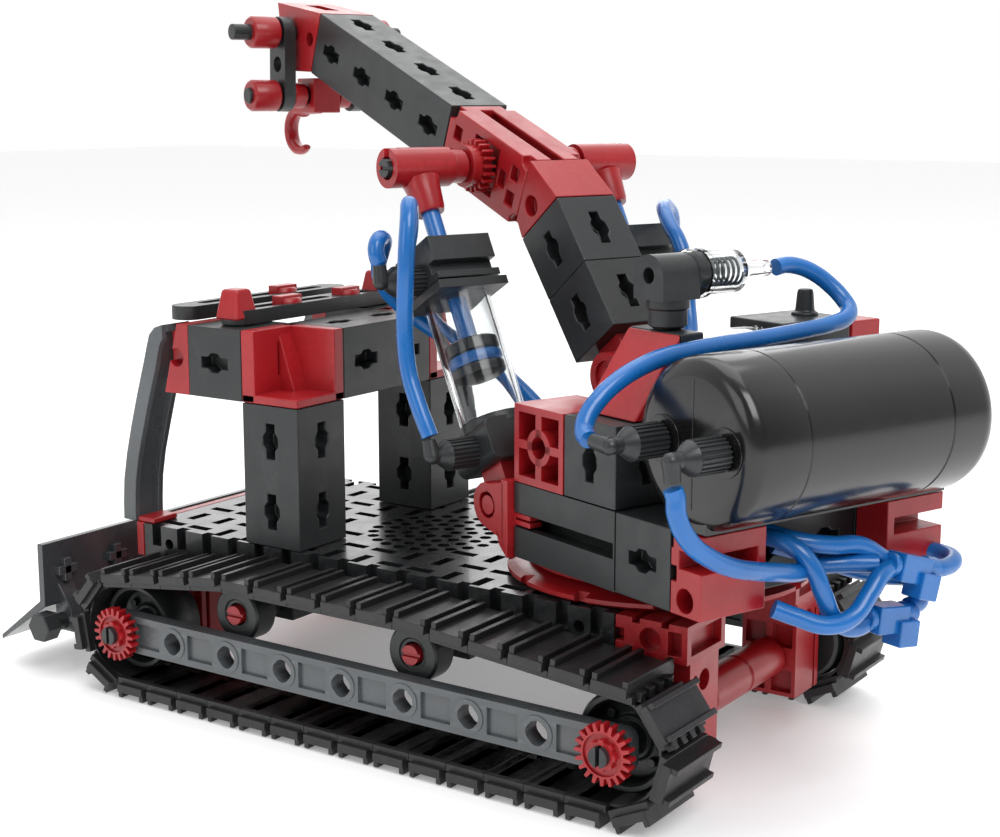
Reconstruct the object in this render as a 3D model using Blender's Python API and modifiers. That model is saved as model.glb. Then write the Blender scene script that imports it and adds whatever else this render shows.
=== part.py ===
"""Toy hydraulic arm: a tracked crawler with a blade, a cab frame and a slewing crane boom.

The boom is raised by two air cylinders fed from a tank, a pump and a valve.
Units in the helpers are millimetres. Chassis axes: X across, Y rearwards, Z up.
Slew axes: U across, V rearwards, turned by SLEW_DEG about the turntable.
"""
import math

import bmesh
import bpy
from mathutils import Matrix, Vector

MM = 0.001
GAP = 0.3                      # clearance between pieces that touch
GRID = 15.0                    # stud grid of the building blocks
SHIFT_X, SHIFT_Y = 5.172, -3.812    # puts the origin under the middle of the whole object

# chassis
AXLE_Y, AXLE_Z, AXLE_R = 60.0, 14.0, 1.9
BORE_R = AXLE_R + GAP + 0.1
WHEEL_R, ROLLER_R = 9.4, 5.8
WHEEL_X = (31.0, 41.5)
ROLLER_X = (35.5, 41.4)
ROLLERS = {"front": (-31.2, 21.6), "rear": (13.8, 21.6)}
TRACK_X = (30.9, 47.9)
BELT_IN_R = WHEEL_R + 0.4
LINKS = 35
PLATE_H, GAP_H, RIB_H, RIB_W, PAD_W = 3.0, 1.6, 4.2, 1.1, 7.2
STRUT_X, STRUT_H = (42.6, 45.9), 8.0
DECK_X, DECK_Y, DECK_Z = 30.0, (-68.7, 51.3), (25.7, 33.2)
BLADE_X, BLADE_PIVOT = 45.0, (-84.0, 11.0)
POST_Y = (-38.6, -23.6)
CAB_Z = (63.2, 78.2)

# slewing body
SLEW_Y, SLEW_DEG = 43.8, -20.0
FLANGE_R = 30.0
BEAM_U = (15.2, 30.0)
TANK_VZ, TANK_R, TANK_U = (42.2, 69.0), 14.8, 30.0
FOOT = (-7.3, 71.7)            # boom hinge (v, z)
BOOM_PITCH, FORE_PITCH = math.radians(52.3), math.radians(21.0)
ELBOW = (-49.9, 111.2)         # axle through the boom's elbow block (v, z)
RAM_U, RAM_FOOT = 24.0, (-14.5, 48.1)
TIP, LINK_LOW = (-131.0, 140.7), (-131.5, 125.7)
HOOK = (-141.0, 117.0)
PUMP_VZ = (15.0, 76.5)
VALVE_Z = 93.7
HOSE_R = 1.65

COLOURS = {
    "red": ((0.52, 0.010, 0.012), 0.32), "black": ((0.008, 0.008, 0.009), 0.30),
    "grey": ((0.20, 0.215, 0.225), 0.40), "rubber": ((0.012, 0.012, 0.012), 0.62),
    "blue": ((0.012, 0.16, 0.42), 0.40), "clear": ((0.72, 0.78, 0.80), 0.12)}


def material(name, colour):
    """A plain Principled plastic for one piece."""
    made = bpy.data.materials.new(name + "_plastic")
    made.use_nodes = True
    shader = made.node_tree.nodes["Principled BSDF"]
    rgb, rough = COLOURS[colour]
    shader.inputs["Base Color"].default_value = (*rgb, 1.0)
    shader.inputs["Roughness"].default_value = rough
    shader.inputs["Metallic"].default_value = 0.0
    return made


def new_object(name, data, home):
    obj = bpy.data.objects.new(name, data)
    home.objects.link(obj)
    return obj


def from_bmesh(shape, home, name="guide"):
    mesh = bpy.data.meshes.new(name)
    shape.to_mesh(mesh)
    shape.free()
    mesh.transform(Matrix.Scale(MM, 4))
    return new_object(name, mesh, home)


def cuboid(low, high):
    """Box between two corners."""
    low, high = Vector(low), Vector(high)
    shape = bmesh.new()
    size = Matrix.Diagonal((*(high - low), 1.0))
    bmesh.ops.create_cube(shape, size=1.0, matrix=Matrix.Translation((low + high) / 2) @ size)
    return from_bmesh(shape, GUIDES)


def rod(start, end, radius, sides=20):
    """Round bar between two points."""
    start, end = Vector(start), Vector(end)
    along = end - start
    turn = along.to_track_quat("Z", "Y").to_matrix().to_4x4()
    shape = bmesh.new()
    bmesh.ops.create_cone(shape, cap_ends=True, segments=sides, radius1=radius, radius2=radius,
                          depth=along.length, matrix=Matrix.Translation((start + end) / 2) @ turn)
    return from_bmesh(shape, GUIDES)


def across(x_low, x_high, spot, radius, sides=20):
    """Round bar along X (or U) at a spot of the side plane."""
    return rod((x_low, *spot), (x_high, *spot), radius, sides)


def flat(points, x_low, x_high, holes=()):
    """Flat outline in the side plane, with any round holes, as thick as the span in X."""
    curve = bpy.data.curves.new("outline", "CURVE")
    curve.dimensions = "2D"
    curve.fill_mode = "BOTH"
    curve.extrude = (x_high - x_low) / 2
    for ring in (points, *holes):
        spline = curve.splines.new("POLY")
        spline.points.add(len(ring) - 1)
        for point, (across_y, up_z) in zip(spline.points, ring):
            point.co = (across_y, up_z, 0.0, 1.0)
        spline.use_cyclic_u = True
    guide = new_object("outline", curve, GUIDES)
    mesh = bpy.data.meshes.new_from_object(guide)
    bpy.data.objects.remove(guide)
    shape = bmesh.new()
    shape.from_mesh(mesh)
    side_plane = Matrix(((0, 0, 1, (x_low + x_high) / 2), (1, 0, 0, 0), (0, 1, 0, 0), (0, 0, 0, 1)))
    bmesh.ops.transform(shape, matrix=side_plane, verts=shape.verts)
    bmesh.ops.remove_doubles(shape, verts=shape.verts, dist=0.001)
    return from_bmesh(shape, GUIDES)


def turned(profile, spot, steps=32):
    """Ring or disc turned about an X axis through a spot; profile holds (x, radius) pairs."""
    mesh = bpy.data.meshes.new("profile")
    count = len(profile)
    corners = [(x * MM, radius * MM, 0.0) for x, radius in profile]
    mesh.from_pydata(corners, [(i, (i + 1) % count) for i in range(count)], [])
    obj = new_object("profile", mesh, GUIDES)
    screw = obj.modifiers.new("Turn", "SCREW")
    screw.axis = "X"
    screw.steps = steps
    screw.render_steps = steps
    screw.use_merge_vertices = True
    screw.merge_threshold = 0.00001
    area = sum(a[0] * b[1] - b[0] * a[1] for a, b in zip(profile, profile[1:] + profile[:1]))
    screw.use_normal_flip = area < 0.0
    obj.location = (0.0, spot[0] * MM, spot[1] * MM)
    return obj


def combine(base, others, operation):
    """Join other shapes to a base or cut them from it, with exact booleans."""
    for other in others:
        other.hide_render = True
        other.display_type = "WIRE"
        other.parent = base.parent
        step = base.modifiers.new(operation.title(), "BOOLEAN")
        step.solver = "EXACT"
        step.operation = operation
        step.object = other


def piece(name, colour, frame, base, joined=(), cut=(), origin=None):
    """Name a shape as a sub-part, put its origin on its axis and give it its material."""
    GUIDES.objects.unlink(base)
    OBJECT.objects.link(base)
    base.name = name
    base.data.name = name
    base.parent = frame
    if origin:
        spot = Vector(origin) * MM
        base.data.transform(Matrix.Translation(-spot))
        base.location = base.location + spot
    combine(base, joined, "UNION")
    combine(base, cut, "DIFFERENCE")
    base.data.materials.append(material(name, colour))


def along(start, pitch, distance, lift=0.0):
    """Point of the side plane at a distance up a forward-leaning line, lifted off it."""
    lead = (-math.cos(pitch), math.sin(pitch))
    up = (math.sin(pitch), math.cos(pitch))
    return (start[0] + distance * lead[0] + lift * up[0], start[1] + distance * lead[1] + lift * up[1])


def ring(spot, radius, sides=20):
    """Points round a circle of the side plane."""
    return [(spot[0] + radius * math.cos(2 * math.pi * i / sides),
             spot[1] + radius * math.sin(2 * math.pi * i / sides)) for i in range(sides)]


def both_sides():
    """Name and sign of the crawler's two sides."""
    return (("left", 1.0), ("right", -1.0))


def span(side, low, high):
    """The X span of a piece on the left, or its mirror image on the right."""
    return (low, high) if side > 0 else (-high, -low)


# ---------------------------------------------------------------- chassis

def deck_plate():
    body = cuboid((-DECK_X, DECK_Y[0], DECK_Z[0]), (DECK_X, DECK_Y[1], DECK_Z[1]))
    mounts = []
    for _, side in both_sides():
        for y, z in ROLLERS.values():
            low, high = span(side, 20.0, DECK_X - 0.2)
            mounts.append(cuboid((low, y - 5.0, z - 3.5), (high, y + 5.0, DECK_Z[0] + 1.0)))
            low, high = span(side, 25.0, STRUT_X[0] - GAP)
            mounts.append(across(low, high, (y, z), 2.0))
    piece("deck_plate", "black", CHASSIS, body, mounts)


def front_cross_bar():
    bar = cuboid((-DECK_X, -71.2, DECK_Z[0]), (DECK_X, DECK_Y[0] - GAP, DECK_Z[1]))
    y, z = BLADE_PIVOT
    arm = [(-69.2, 27.0), (-71.2, 27.0), (-81.0, 14.6), (-85.0, 14.2), (y - 3.3, z), (y, z - 3.3),
           (-69.2, 17.0)]
    arms = [flat(arm, *span(side, 15.0, 22.5)) for _, side in both_sides()]
    bore = across(-25.0, 25.0, BLADE_PIVOT, BORE_R)
    piece("front_cross_bar", "red", CHASSIS, bar, arms, [bore])


def axle_carrier(name, y, top, block):
    """Two hanging legs and the sleeve between them, round one axle."""
    sleeve = across(-20.0, 20.0, (y, AXLE_Z), 4.0)
    parts = []
    for _, side in both_sides():
        low, high = span(side, 17.0, 28.0)
        parts.append(cuboid((low, y - 6.0, 6.0), (high, y + 6.0, top)))
        if block:
            low, high = span(side, 15.3, 30.0)
            parts.append(cuboid((low, DECK_Y[1] + GAP, 26.0), (high, 66.4, DECK_Z[1])))
    bore = across(-32.0, 32.0, (y, AXLE_Z), BORE_R)
    piece(name, "red", CHASSIS, sleeve, parts, [bore])


def side_struts():
    for name, side in both_sides():
        low, high = span(side, *STRUT_X)
        half = STRUT_H / 2
        body = cuboid((low, -64.0, AXLE_Z - half), (high, 64.0, AXLE_Z + half))
        holes = [across(low - 1.0, high + 1.0, (GRID * (i - 4), AXLE_Z), BORE_R, 16) for i in range(9)]
        piece("side_strut_" + name, "grey", CHASSIS, body, [], holes)


def axles():
    for name, y in (("front_axle", -AXLE_Y), ("rear_axle", AXLE_Y)):
        bar = across(-50.0, 50.0, (y, AXLE_Z), AXLE_R, 16)
        gears = []
        for _, side in both_sides():
            low, high = span(side, 46.3, 48.4)
            gears.append(across(low, high, (y, AXLE_Z), 5.75, 24))
        piece(name, "black", CHASSIS, bar, gears)


def wheels():
    inner, outer = WHEEL_X
    for name, side in both_sides():
        for end, y in (("front", -AXLE_Y), ("rear", AXLE_Y)):
            profile = [(inner, BORE_R), (inner, WHEEL_R), (outer, WHEEL_R), (outer, 7.8),
                       (37.5, 7.6), (37.5, 3.2), (outer + 0.6, 3.0), (outer + 0.6, BORE_R)]
            profile = [(side * x, radius) for x, radius in profile]
            wheel = turned(profile, (y, AXLE_Z))
            piece("wheel_%s_%s" % (end, name), "black", CHASSIS, wheel)
        for end, spot in ROLLERS.items():
            inner_r, outer_r = ROLLER_X
            profile = [(inner_r, 2.3), (inner_r, ROLLER_R), (outer_r, ROLLER_R), (outer_r, 2.3)]
            roller = turned([(side * x, radius) for x, radius in profile], spot, 24)
            piece("roller_%s_%s" % (end, name), "black", CHASSIS, roller)


def belt(height):
    """Outline of the taut belt round wheels and rollers, at a height above its inner face.

    height is a function of the distance along the belt; the result is a list of (y, z).
    """
    circles = [((AXLE_Y, AXLE_Z), BELT_IN_R), ((*ROLLERS["rear"],), ROLLER_R + GAP),
               ((*ROLLERS["front"],), ROLLER_R + GAP), ((-AXLE_Y, AXLE_Z), BELT_IN_R)]
    runs = []
    for i, (here, r_here) in enumerate(circles):
        there, r_there = circles[(i + 1) % len(circles)]
        heading = math.atan2(there[1] - here[1], there[0] - here[0])
        apart = math.dist(here, there)
        runs.append(heading - math.acos((r_here - r_there) / apart))
    spots = []
    for i, (middle, radius) in enumerate(circles):
        before, after = runs[i - 1], runs[i]
        while after < before:
            after += 2 * math.pi
        steps = max(1, round((after - before) / 0.12))
        for k in range(steps + 1):
            angle = before + (after - before) * k / steps
            spots.append((middle[0] + radius * math.cos(angle), middle[1] + radius * math.sin(angle), angle))
    spots.append(spots[0])
    lengths = [0.0]
    for a, b in zip(spots, spots[1:]):
        lengths.append(lengths[-1] + math.dist(a[:2], b[:2]))
    total = lengths[-1]
    outline = []
    for distance, lift in height(total):
        k = max(i for i, at in enumerate(lengths[:-1]) if at <= distance + 1e-9)
        part = (distance - lengths[k]) / (lengths[k + 1] - lengths[k])
        a, b = spots[k], spots[k + 1]
        bend = (b[2] - a[2] + math.pi) % (2 * math.pi) - math.pi
        angle = a[2] + bend * part
        y = a[0] + (b[0] - a[0]) * part
        z = a[1] + (b[1] - a[1]) * part
        outline.append((y + lift * math.cos(angle), z + lift * math.sin(angle)))
    return outline


def link_heights(total):
    """Two ribs on each shoe plate, and a low gap to the next shoe."""
    pitch = total / LINKS
    for i in range(LINKS):
        start = i * pitch + (pitch - PAD_W) / 2
        end = start + PAD_W
        yield from ((start, GAP_H), (start, RIB_H), (start + RIB_W, RIB_H), (start + RIB_W, PLATE_H),
                    (end - RIB_W, PLATE_H), (end - RIB_W, RIB_H), (end, RIB_H), (end, GAP_H))


def inner_heights(total):
    """The belt's plain inner face."""
    count = 96
    for i in range(count):
        yield (total * i / count, 0.0)


def tracks():
    outside = belt(link_heights)
    inside = belt(inner_heights)
    for name, side in both_sides():
        body = flat(outside, *span(side, *TRACK_X), [inside])
        piece("track_" + name, "rubber", CHASSIS, body)


def cab_frame():
    top_low, top_high = CAB_Z
    front, back = POST_Y
    for name, side in both_sides():
        low, high = span(side, GRID, 2 * GRID)
        post = cuboid((low, front, DECK_Z[1] + GAP), (high, back, top_low - GAP))
        piece("cab_post_" + name, "black", CHASSIS, post)
        floor = cuboid((low, front, top_low), (high, back, top_low + 1.8))
        wall = cuboid((low, front, top_low + 1.0), (high, front + 3.5, top_high))
        inner_low, inner_high = span(side, GRID, GRID + 3.0)
        inner = cuboid((inner_low, front + 1.0, top_low + 1.0), (inner_high, back, top_high))
        piece("cab_corner_" + name, "red", CHASSIS, floor, [wall, inner])
        rail = cuboid((low, front - GRID, top_low), (high, front - GAP, top_high))
        nose_outline = [(-53.0, top_high), (-56.9, top_high), (-60.9, top_low), (-53.0, top_low)]
        nose = flat(nose_outline, *span(side, GRID + 0.2, 2 * GRID - 0.2))
        piece("cab_rail_" + name, "black", CHASSIS, rail, [nose])
        outer = [(-61.2, 77.7), (-65.2, 75.3), (-67.1, 69.3), (-71.7, 54.7), (-74.6, 42.3), (-75.1, 33.5)]
        inside = [(-71.3, 33.5), (-70.8, 42.3), (-68.0, 54.0), (-63.6, 68.0), (-62.4, 72.5), (-61.2, 74.0)]
        pillar = flat(outer + inside, *span(side, 21.5, 30.0))
        piece("pillar_" + name, "grey", CHASSIS, pillar)
    beam = cuboid((-GRID + GAP, front, top_low), (GRID - GAP, back, top_high))
    piece("cab_cross_beam", "black", CHASSIS, beam)
    for name, y in (("rear", -45.0), ("front", -59.5)):
        base_z = top_high + GAP
        body = cuboid((-27.0, y - 3.5, base_z), (27.0, y + 3.5, base_z + 3.0))
        clips = []
        if name == "rear":
            for _, side in both_sides():
                low, high = span(side, 21.0, 27.0)
                clips.append(cuboid((low, y - 3.4, base_z + 1.0), (high, y + 3.4, base_z + 7.5)))
        piece("roof_bar_" + name, "black", CHASSIS, body, clips)


def blade():
    y, z = BLADE_PIVOT
    outline = [(-85.0, 29.0), (-86.7, 29.0), (-86.7, 15.9), (-100.0, 5.9), (-100.0, 4.9), (-85.0, 14.9)]
    board = flat(outline, -BLADE_X, BLADE_X)
    lugs = []
    for _, side in both_sides():
        for low, high in ((23.2, 27.0), (37.0, 41.0)):
            lug = [(-85.5, 20.0), (-81.0, 14.0), (-80.8, 8.8), (-86.2, 8.8), (-86.2, 13.2)]
            lugs.append(flat(lug, *span(side, low, high)))
    lugs.append(across(-47.0, 44.5, BLADE_PIVOT, AXLE_R, 16))
    lugs.append(across(44.0, 48.0, BLADE_PIVOT, 3.4, 6))
    piece("blade", "grey", CHASSIS, board, lugs, [], (0.0, y, z))


def turntable_base():
    disc = rod((0.0, SLEW_Y, DECK_Z[1] + 0.5), (0.0, SLEW_Y, 36.0), FLANGE_R, 48)
    bore = rod((0.0, SLEW_Y, 30.0), (0.0, SLEW_Y, 40.0), 6.3, 24)
    piece("turntable_base", "red", CHASSIS, disc, [], [bore])


# ---------------------------------------------------------------- slewing body

def slew_frame():
    disc = rod((0.0, 0.0, 36.3), (0.0, 0.0, 39.0), 26.0, 48)
    hub = rod((0.0, 0.0, 34.0), (0.0, 0.0, 37.0), 6.0, 24)
    piece("turntable_top", "red", UPPER, disc, [hub])
    stacks = []
    for name, side in both_sides():
        low, high = span(side, *BEAM_U)
        stacks.append(cuboid((low, -7.5, 39.3), (high, 37.2, 53.7)))
        stacks.append(cuboid((low, 7.8, 53.0), (high, 22.5, 69.0)))
        block = cuboid((low, 37.5, 39.3), (high, 45.0, 53.7))
        piece("tank_block_" + name, "red", UPPER, block)
        bracket(name, side)
    cross = cuboid((-20.0, 22.8, 39.4), (20.0, 37.1, 53.6))
    piece("slew_beams", "black", UPPER, cross, stacks)


def bracket(name, side):
    """Fixed fork in front of the beam that holds the foot of one ram."""
    low, high = span(side, 16.5, 31.5)
    plate = cuboid((low, -9.8, 41.0), (high, -7.8, 54.0))
    v, z = RAM_FOOT
    ears = []
    for ear_low, ear_high in ((16.5, 19.3), (28.7, 31.5)):
        ear = [(-9.0, z - 5.0), (-9.0, z + 5.0), (v, z + 4.6), (v - 4.6, z), (v, z - 4.6)]
        ears.append(flat(ear, *span(side, ear_low, ear_high)))
    bore_low, bore_high = span(side, 15.0, 33.0)
    piece("ram_bracket_" + name, "red", UPPER, plate, ears,
          [across(bore_low, bore_high, RAM_FOOT, BORE_R)])


def boom_foot():
    """Pocket blocks on both beams, the bridge between them and the hinge ears."""
    base = cuboid((-30.0, -7.5, 54.0), (30.0, 7.4, 60.0))
    parts = []
    v, z = FOOT
    for _, side in both_sides():
        low, high = span(side, *BEAM_U)
        parts.append(cuboid((low, -7.4, 59.0), (high, 7.3, 69.0)))
        ear = [(7.0, 59.5), (-7.3, 59.5), (-12.0, 66.0), (v - 4.7, z), (v - 3.3, z + 3.3),
               (v, z + 4.7), (v + 3.3, z + 3.3), (v + 4.7, z), (7.0, 63.0)]
        parts.append(flat(ear, *span(side, 4.5, 7.4)))
    piece("boom_foot", "red", UPPER, base, parts, [across(-9.0, 9.0, FOOT, BORE_R)])


def air_tank():
    barrel = across(-TANK_U, TANK_U, TANK_VZ, TANK_R, 40)
    foot = cuboid((-TANK_U + 0.5, 37.6, 54.0), (TANK_U - 0.5, 45.6, 60.0))
    ports = [across(TANK_U - 1.0, 41.0, (v, 69.0), 3.2, 16) for v in (35.0, 50.0)]
    piece("air_tank", "black", UPPER, barrel, [foot, *ports])


def pump():
    v, z = PUMP_VZ
    block = cuboid((9.6, 7.8, 69.3), (15.0, 22.2, 84.0))
    wedge_outline = [(7.8, 69.3), (22.2, 69.3), (22.2, 84.0), (7.8, 84.0)]
    wedge = flat(wedge_outline, 14.5, 18.0)
    parts = [wedge, across(-11.0, 10.0, PUMP_VZ, 6.5), cuboid((-28.0, 7.8, 69.3), (-10.0, 22.2, 84.0)),
             rod((-23.0, v, 83.0), (-23.0, v, 89.5), 2.0, 12)]
    cuts = [across(-24.0, 9.8, PUMP_VZ, 5.2), across(-30.0, -20.0, PUMP_VZ, 2.3)]
    piece("pump_barrel", "clear", UPPER, block, parts, cuts)
    stem = across(-34.0, 0.0, PUMP_VZ, AXLE_R, 16)
    ends = [across(-3.7, 3.0, PUMP_VZ, 4.9), cuboid((-40.0, v - 4.0, z - 1.0), (-32.0, v + 4.0, z + 6.0))]
    piece("pump_rod", "red", UPPER, stem, ends, [], (0.0, v, z))


def valve():
    v = 15.3
    head = across(8.0, 17.0, (v, VALVE_Z), 4.1)
    parts = [rod((12.3, v, 84.3), (12.3, v, 92.0), 3.6), across(-5.0, 9.0, (v, VALVE_Z), 4.6),
             across(-12.0, -4.0, (v, VALVE_Z), 1.8, 12)]
    piece("valve", "black", UPPER, head, parts)


def lower_boom():
    eye = across(-4.1, 4.1, FOOT, 4.4)
    corners = [along(FOOT, BOOM_PITCH, s, t) for s, t in ((7.5, -7.4), (7.5, 7.4), (37.2, 7.4), (37.2, -7.4))]
    beam = flat(corners, -7.4, 7.4)
    neck_points = [along(FOOT, BOOM_PITCH, s, t)
                   for s, t in ((0.0, -3.4), (0.0, 3.4), (8.5, 3.4), (8.5, -3.4))]
    neck = flat(neck_points, -4.1, 4.1)
    pin = across(-7.4, 7.4, FOOT, AXLE_R, 16)
    piece("lower_boom", "black", UPPER, beam, [neck, eye, pin], [], (0.0, *FOOT))


def elbow_points():
    """Corners of the elbow: the wedge that turns the boom, then the long block."""
    low_corner = along(FOOT, BOOM_PITCH, 37.5, -7.4)
    high_corner = along(FOOT, BOOM_PITCH, 37.5, 7.4)
    block = [along(ELBOW, FORE_PITCH, s, t)
             for s, t in ((-15.0, 7.4), (15.0, 7.4), (15.0, -7.4), (-13.0, -7.4))]
    return [low_corner, high_corner, *block]


def upper_boom():
    body = flat(elbow_points(), -7.4, 7.4)
    piece("elbow_block", "red", UPPER, body, [], [across(-9.0, 9.0, ELBOW, BORE_R)], (0.0, *ELBOW))
    start = along(ELBOW, FORE_PITCH, 15.3)
    corners = [along(start, FORE_PITCH, s, t)
               for s, t in ((0.0, -7.4), (0.0, 7.4), (59.3, 7.4), (59.3, -7.4))]
    piece("fore_boom", "black", UPPER, flat(corners, -7.4, 7.4))
    end = along(start, FORE_PITCH, 59.6)
    outline = [along(end, FORE_PITCH, 0.0, -7.2), along(end, FORE_PITCH, 0.0, 7.4), (-138.0, 148.3),
               (-135.2, 131.8)]
    piece("boom_tip", "red", UPPER, flat(outline, -7.4, 7.4), [], [across(-9.0, 9.0, TIP, BORE_R)])
    axle = across(-32.0, 32.0, ELBOW, AXLE_R, 16)
    collars = [across(*span(side, 7.8, 12.0), ELBOW, 5.6, 24) for _, side in both_sides()]
    piece("boom_axle", "black", UPPER, axle, collars, [], (0.0, *ELBOW))


def hook_gear():
    """Two links on the tip axle and the hook block on the lower axle."""
    plates = []
    for _, side in both_sides():
        plate = [along(TIP, math.radians(-88.0), s, t)
                 for s, t in ((-4.0, -2.0), (-4.0, 2.0), (-2.0, 3.8), (17.0, 3.8), (19.0, 2.0), (19.0, -2.0),
                              (17.0, -3.8), (-2.0, -3.8))]
        plates.append(flat(plate, *span(side, 8.6, 11.6)))
    bars = [across(-23.0, 24.0, TIP, AXLE_R, 16), across(-20.0, 20.0, LINK_LOW, AXLE_R, 16)]
    bars += [across(*span(side, 11.0, 19.0), LINK_LOW, 3.8) for _, side in both_sides()]
    piece("tip_links", "red", UPPER, plates[0], [bars[0], plates[1], *bars[1:]], [], (0.0, *TIP))
    v, z = LINK_LOW
    claw_out = ring(HOOK, 6.4, 24)[4:21]
    claw_in = ring(HOOK, 3.9, 24)[4:21]
    claw = flat(claw_out + claw_in[::-1], -3.6, 3.6)
    block = flat([(v - 5.5, z - 5.0), (v + 4.2, z - 4.2), (v + 4.2, z + 2.2), (v + 2.8, z + 3.6),
                  (v - 2.8, z + 3.6), (v - 4.2, z + 2.2)], -3.6, 3.6)
    neck = flat([(v - 1.5, z - 4.6), (v - 5.0, z + 1.0), (HOOK[0] + 1.0, HOOK[1] + 5.6),
                 (HOOK[0] + 2.2, HOOK[1] + 3.2)], -3.6, 3.6)
    piece("hook", "red", UPPER, claw, [block, neck], [across(-5.0, 5.0, LINK_LOW, BORE_R)], (0.0, *LINK_LOW))


def rams():
    """Clear air cylinders: a hollow barrel with caps, and the rod with piston and T-sleeve."""
    pitch = math.atan2(ELBOW[1] - RAM_FOOT[1], RAM_FOOT[0] - ELBOW[0])
    length = math.dist(ELBOW, RAM_FOOT)

    def bar(u, start, end, radius, sides=24):
        return rod((u, *along(RAM_FOOT, pitch, start)), (u, *along(RAM_FOOT, pitch, end)), radius, sides)

    def block(low, high, start, end, half):
        corners = [along(RAM_FOOT, pitch, s, t)
                   for s, t in ((start, -half), (start, half), (end, half), (end, -half))]
        return flat(corners, low, high)

    for name, side in both_sides():
        u = RAM_U * side
        eye = across(u - 4.2, u + 4.2, RAM_FOOT, 4.2)
        parts = [across(*span(side, 16.8, 31.3), RAM_FOOT, AXLE_R, 16),
                 block(u - 4.2, u + 4.2, 1.0, 7.5, 3.6), block(u - 6.8, u + 6.8, 7.0, 15.5, 6.8),
                 bar(u, 15.0, 44.0, 6.8), block(u - 7.4, u + 7.4, 43.5, 54.0, 6.8)]
        parts += [across(30.2, 41.0, along(RAM_FOOT, pitch, s), 3.2, 16) for s in (11.0, 47.5) if side > 0]
        parts += [across(-34.0, -30.2, along(RAM_FOOT, pitch, s), 3.0, 16) for s in (11.0, 47.5) if side < 0]
        cuts = [bar(u, 17.0, 45.0, 5.6), bar(u, 40.0, 60.0, 2.3, 16)]
        piece("ram_barrel_" + name, "clear", UPPER, eye, parts, cuts, (u, *RAM_FOOT))
        shaft = bar(u, 27.0, length - 2.0, AXLE_R, 16)
        sleeve = across(u - 7.2, u + 7.2, ELBOW, 4.0)
        piston = bar(u, 26.0, 32.0, 5.3)
        pivot = across(u - 9.0, u + 9.0, ELBOW, 2.6)
        piece("ram_rod_" + name, "blue", UPPER, shaft, [sleeve, piston], [pivot], (u, *ELBOW))


# hose routes in slew axes (u, v, z), chosen along the hanging loops
HOSE_VALVE = [(-14.5, 15.3, 93.7), (-17.0, 15.3, 94.0), (-20.0, 15.8, 93.6), (-23.0, 17.0, 92.3),
              (-25.6, 18.8, 90.0), (-26.9, 20.9, 87.6), (-26.6, 23.0, 85.7), (-24.0, 24.8, 84.4),
              (-19.5, 25.2, 83.5), (-14.0, 25.3, 83.0), (-8.0, 25.3, 82.6), (-2.0, 25.3, 82.3),
              (4.0, 25.3, 82.1), (10.0, 25.4, 81.9), (16.0, 25.4, 81.5), (22.0, 25.4, 80.9),
              (27.5, 25.5, 79.6), (32.5, 25.6, 77.6), (36.5, 25.7, 75.0), (39.3, 26.0, 72.2),
              (40.8, 27.2, 70.0), (41.5, 29.4, 69.2)]
HOSE_LOW = [(40.4, -20.6, 61.6), (40.8, -22.0, 64.4), (41.1, -24.2, 68.4), (41.3, -26.4, 73.0),
            (41.3, -27.6, 78.0), (41.2, -28.0, 83.0), (41.1, -27.9, 88.0), (40.9, -27.8, 94.0),
            (40.3, -28.2, 99.0), (39.2, -29.4, 103.0), (37.8, -31.4, 105.0), (36.2, -33.4, 104.4),
            (35.0, -35.2, 102.0), (34.2, -36.8, 99.2), (33.8, -38.2, 96.6)]
HOSE_FAR = [(-35.6, -38.4, 93.6), (-35.6, -38.3, 96.6), (-34.4, -37.2, 99.6), (-31.0, -35.0, 101.8),
            (-27.2, -31.6, 102.2), (-24.2, -27.8, 101.2), (-22.4, -24.0, 98.8), (-22.0, -20.8, 95.8),
            (-22.0, -18.8, 91.6), (-22.0, -18.0, 87.0), (-21.6, -17.0, 82.6), (-20.4, -15.0, 78.8),
            (-18.6, -12.8, 75.6), (-17.0, -11.2, 72.6)]
HOSE_UP = [(40.4, -38.4, 93.4), (40.8, -38.8, 95.4), (40.2, -39.4, 97.2), (38.6, -40.6, 98.0),
           (36.8, -42.2, 97.2), (36.0, -44.4, 95.0), (35.2, -47.0, 91.6), (32.8, -49.0, 87.6),
           (28.8, -49.4, 83.4), (24.0, -48.2, 79.4), (19.4, -44.6, 75.8), (15.6, -40.0, 72.6),
           (13.4, -34.4, 69.6), (12.6, -28.6, 66.6), (12.2, -23.4, 63.6), (12.0, -19.6, 61.0)]
HOSE_TANK = [(41.3, 50.4, 64.6), (40.9, 50.6, 63.2), (40.8, 50.8, 60.6), (38.1, 51.0, 55.7),
             (33.8, 51.0, 52.4), (28.6, 50.8, 49.9), (22.8, 50.2, 48.2), (16.7, 48.8, 46.7),
             (8.6, 46.6, 44.9), (4.0, 45.0, 44.8), (-0.5, 46.6, 44.9), (-3.6, 49.2, 45.1),
             (-6.0, 51.3, 45.2)]


def hoses():
    routes = {"hose_valve": HOSE_VALVE, "hose_ram_low": HOSE_LOW, "hose_ram_far": HOSE_FAR,
              "hose_ram_high": HOSE_UP, "hose_tank": HOSE_TANK}
    for name, route in routes.items():
        curve = bpy.data.curves.new(name, "CURVE")
        curve.dimensions = "3D"
        curve.bevel_depth = HOSE_R * MM
        curve.bevel_resolution = 2
        curve.use_fill_caps = True
        spline = curve.splines.new("POLY")
        spline.points.add(len(route) - 1)
        for point, spot in zip(spline.points, route):
            point.co = (*(Vector(spot) * MM), 1.0)
        piece(name, "blue", UPPER, new_object(name, curve, GUIDES))


def hose_tee():
    bar = rod((-9.5, 51.3, 44.9), (-19.0, 51.3, 43.8), 2.4, 16)
    branch = rod((-14.0, 51.3, 44.4), (-14.6, 51.3, 37.0), 2.2, 16)
    piece("hose_tee", "blue", UPPER, bar, [branch])


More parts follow.
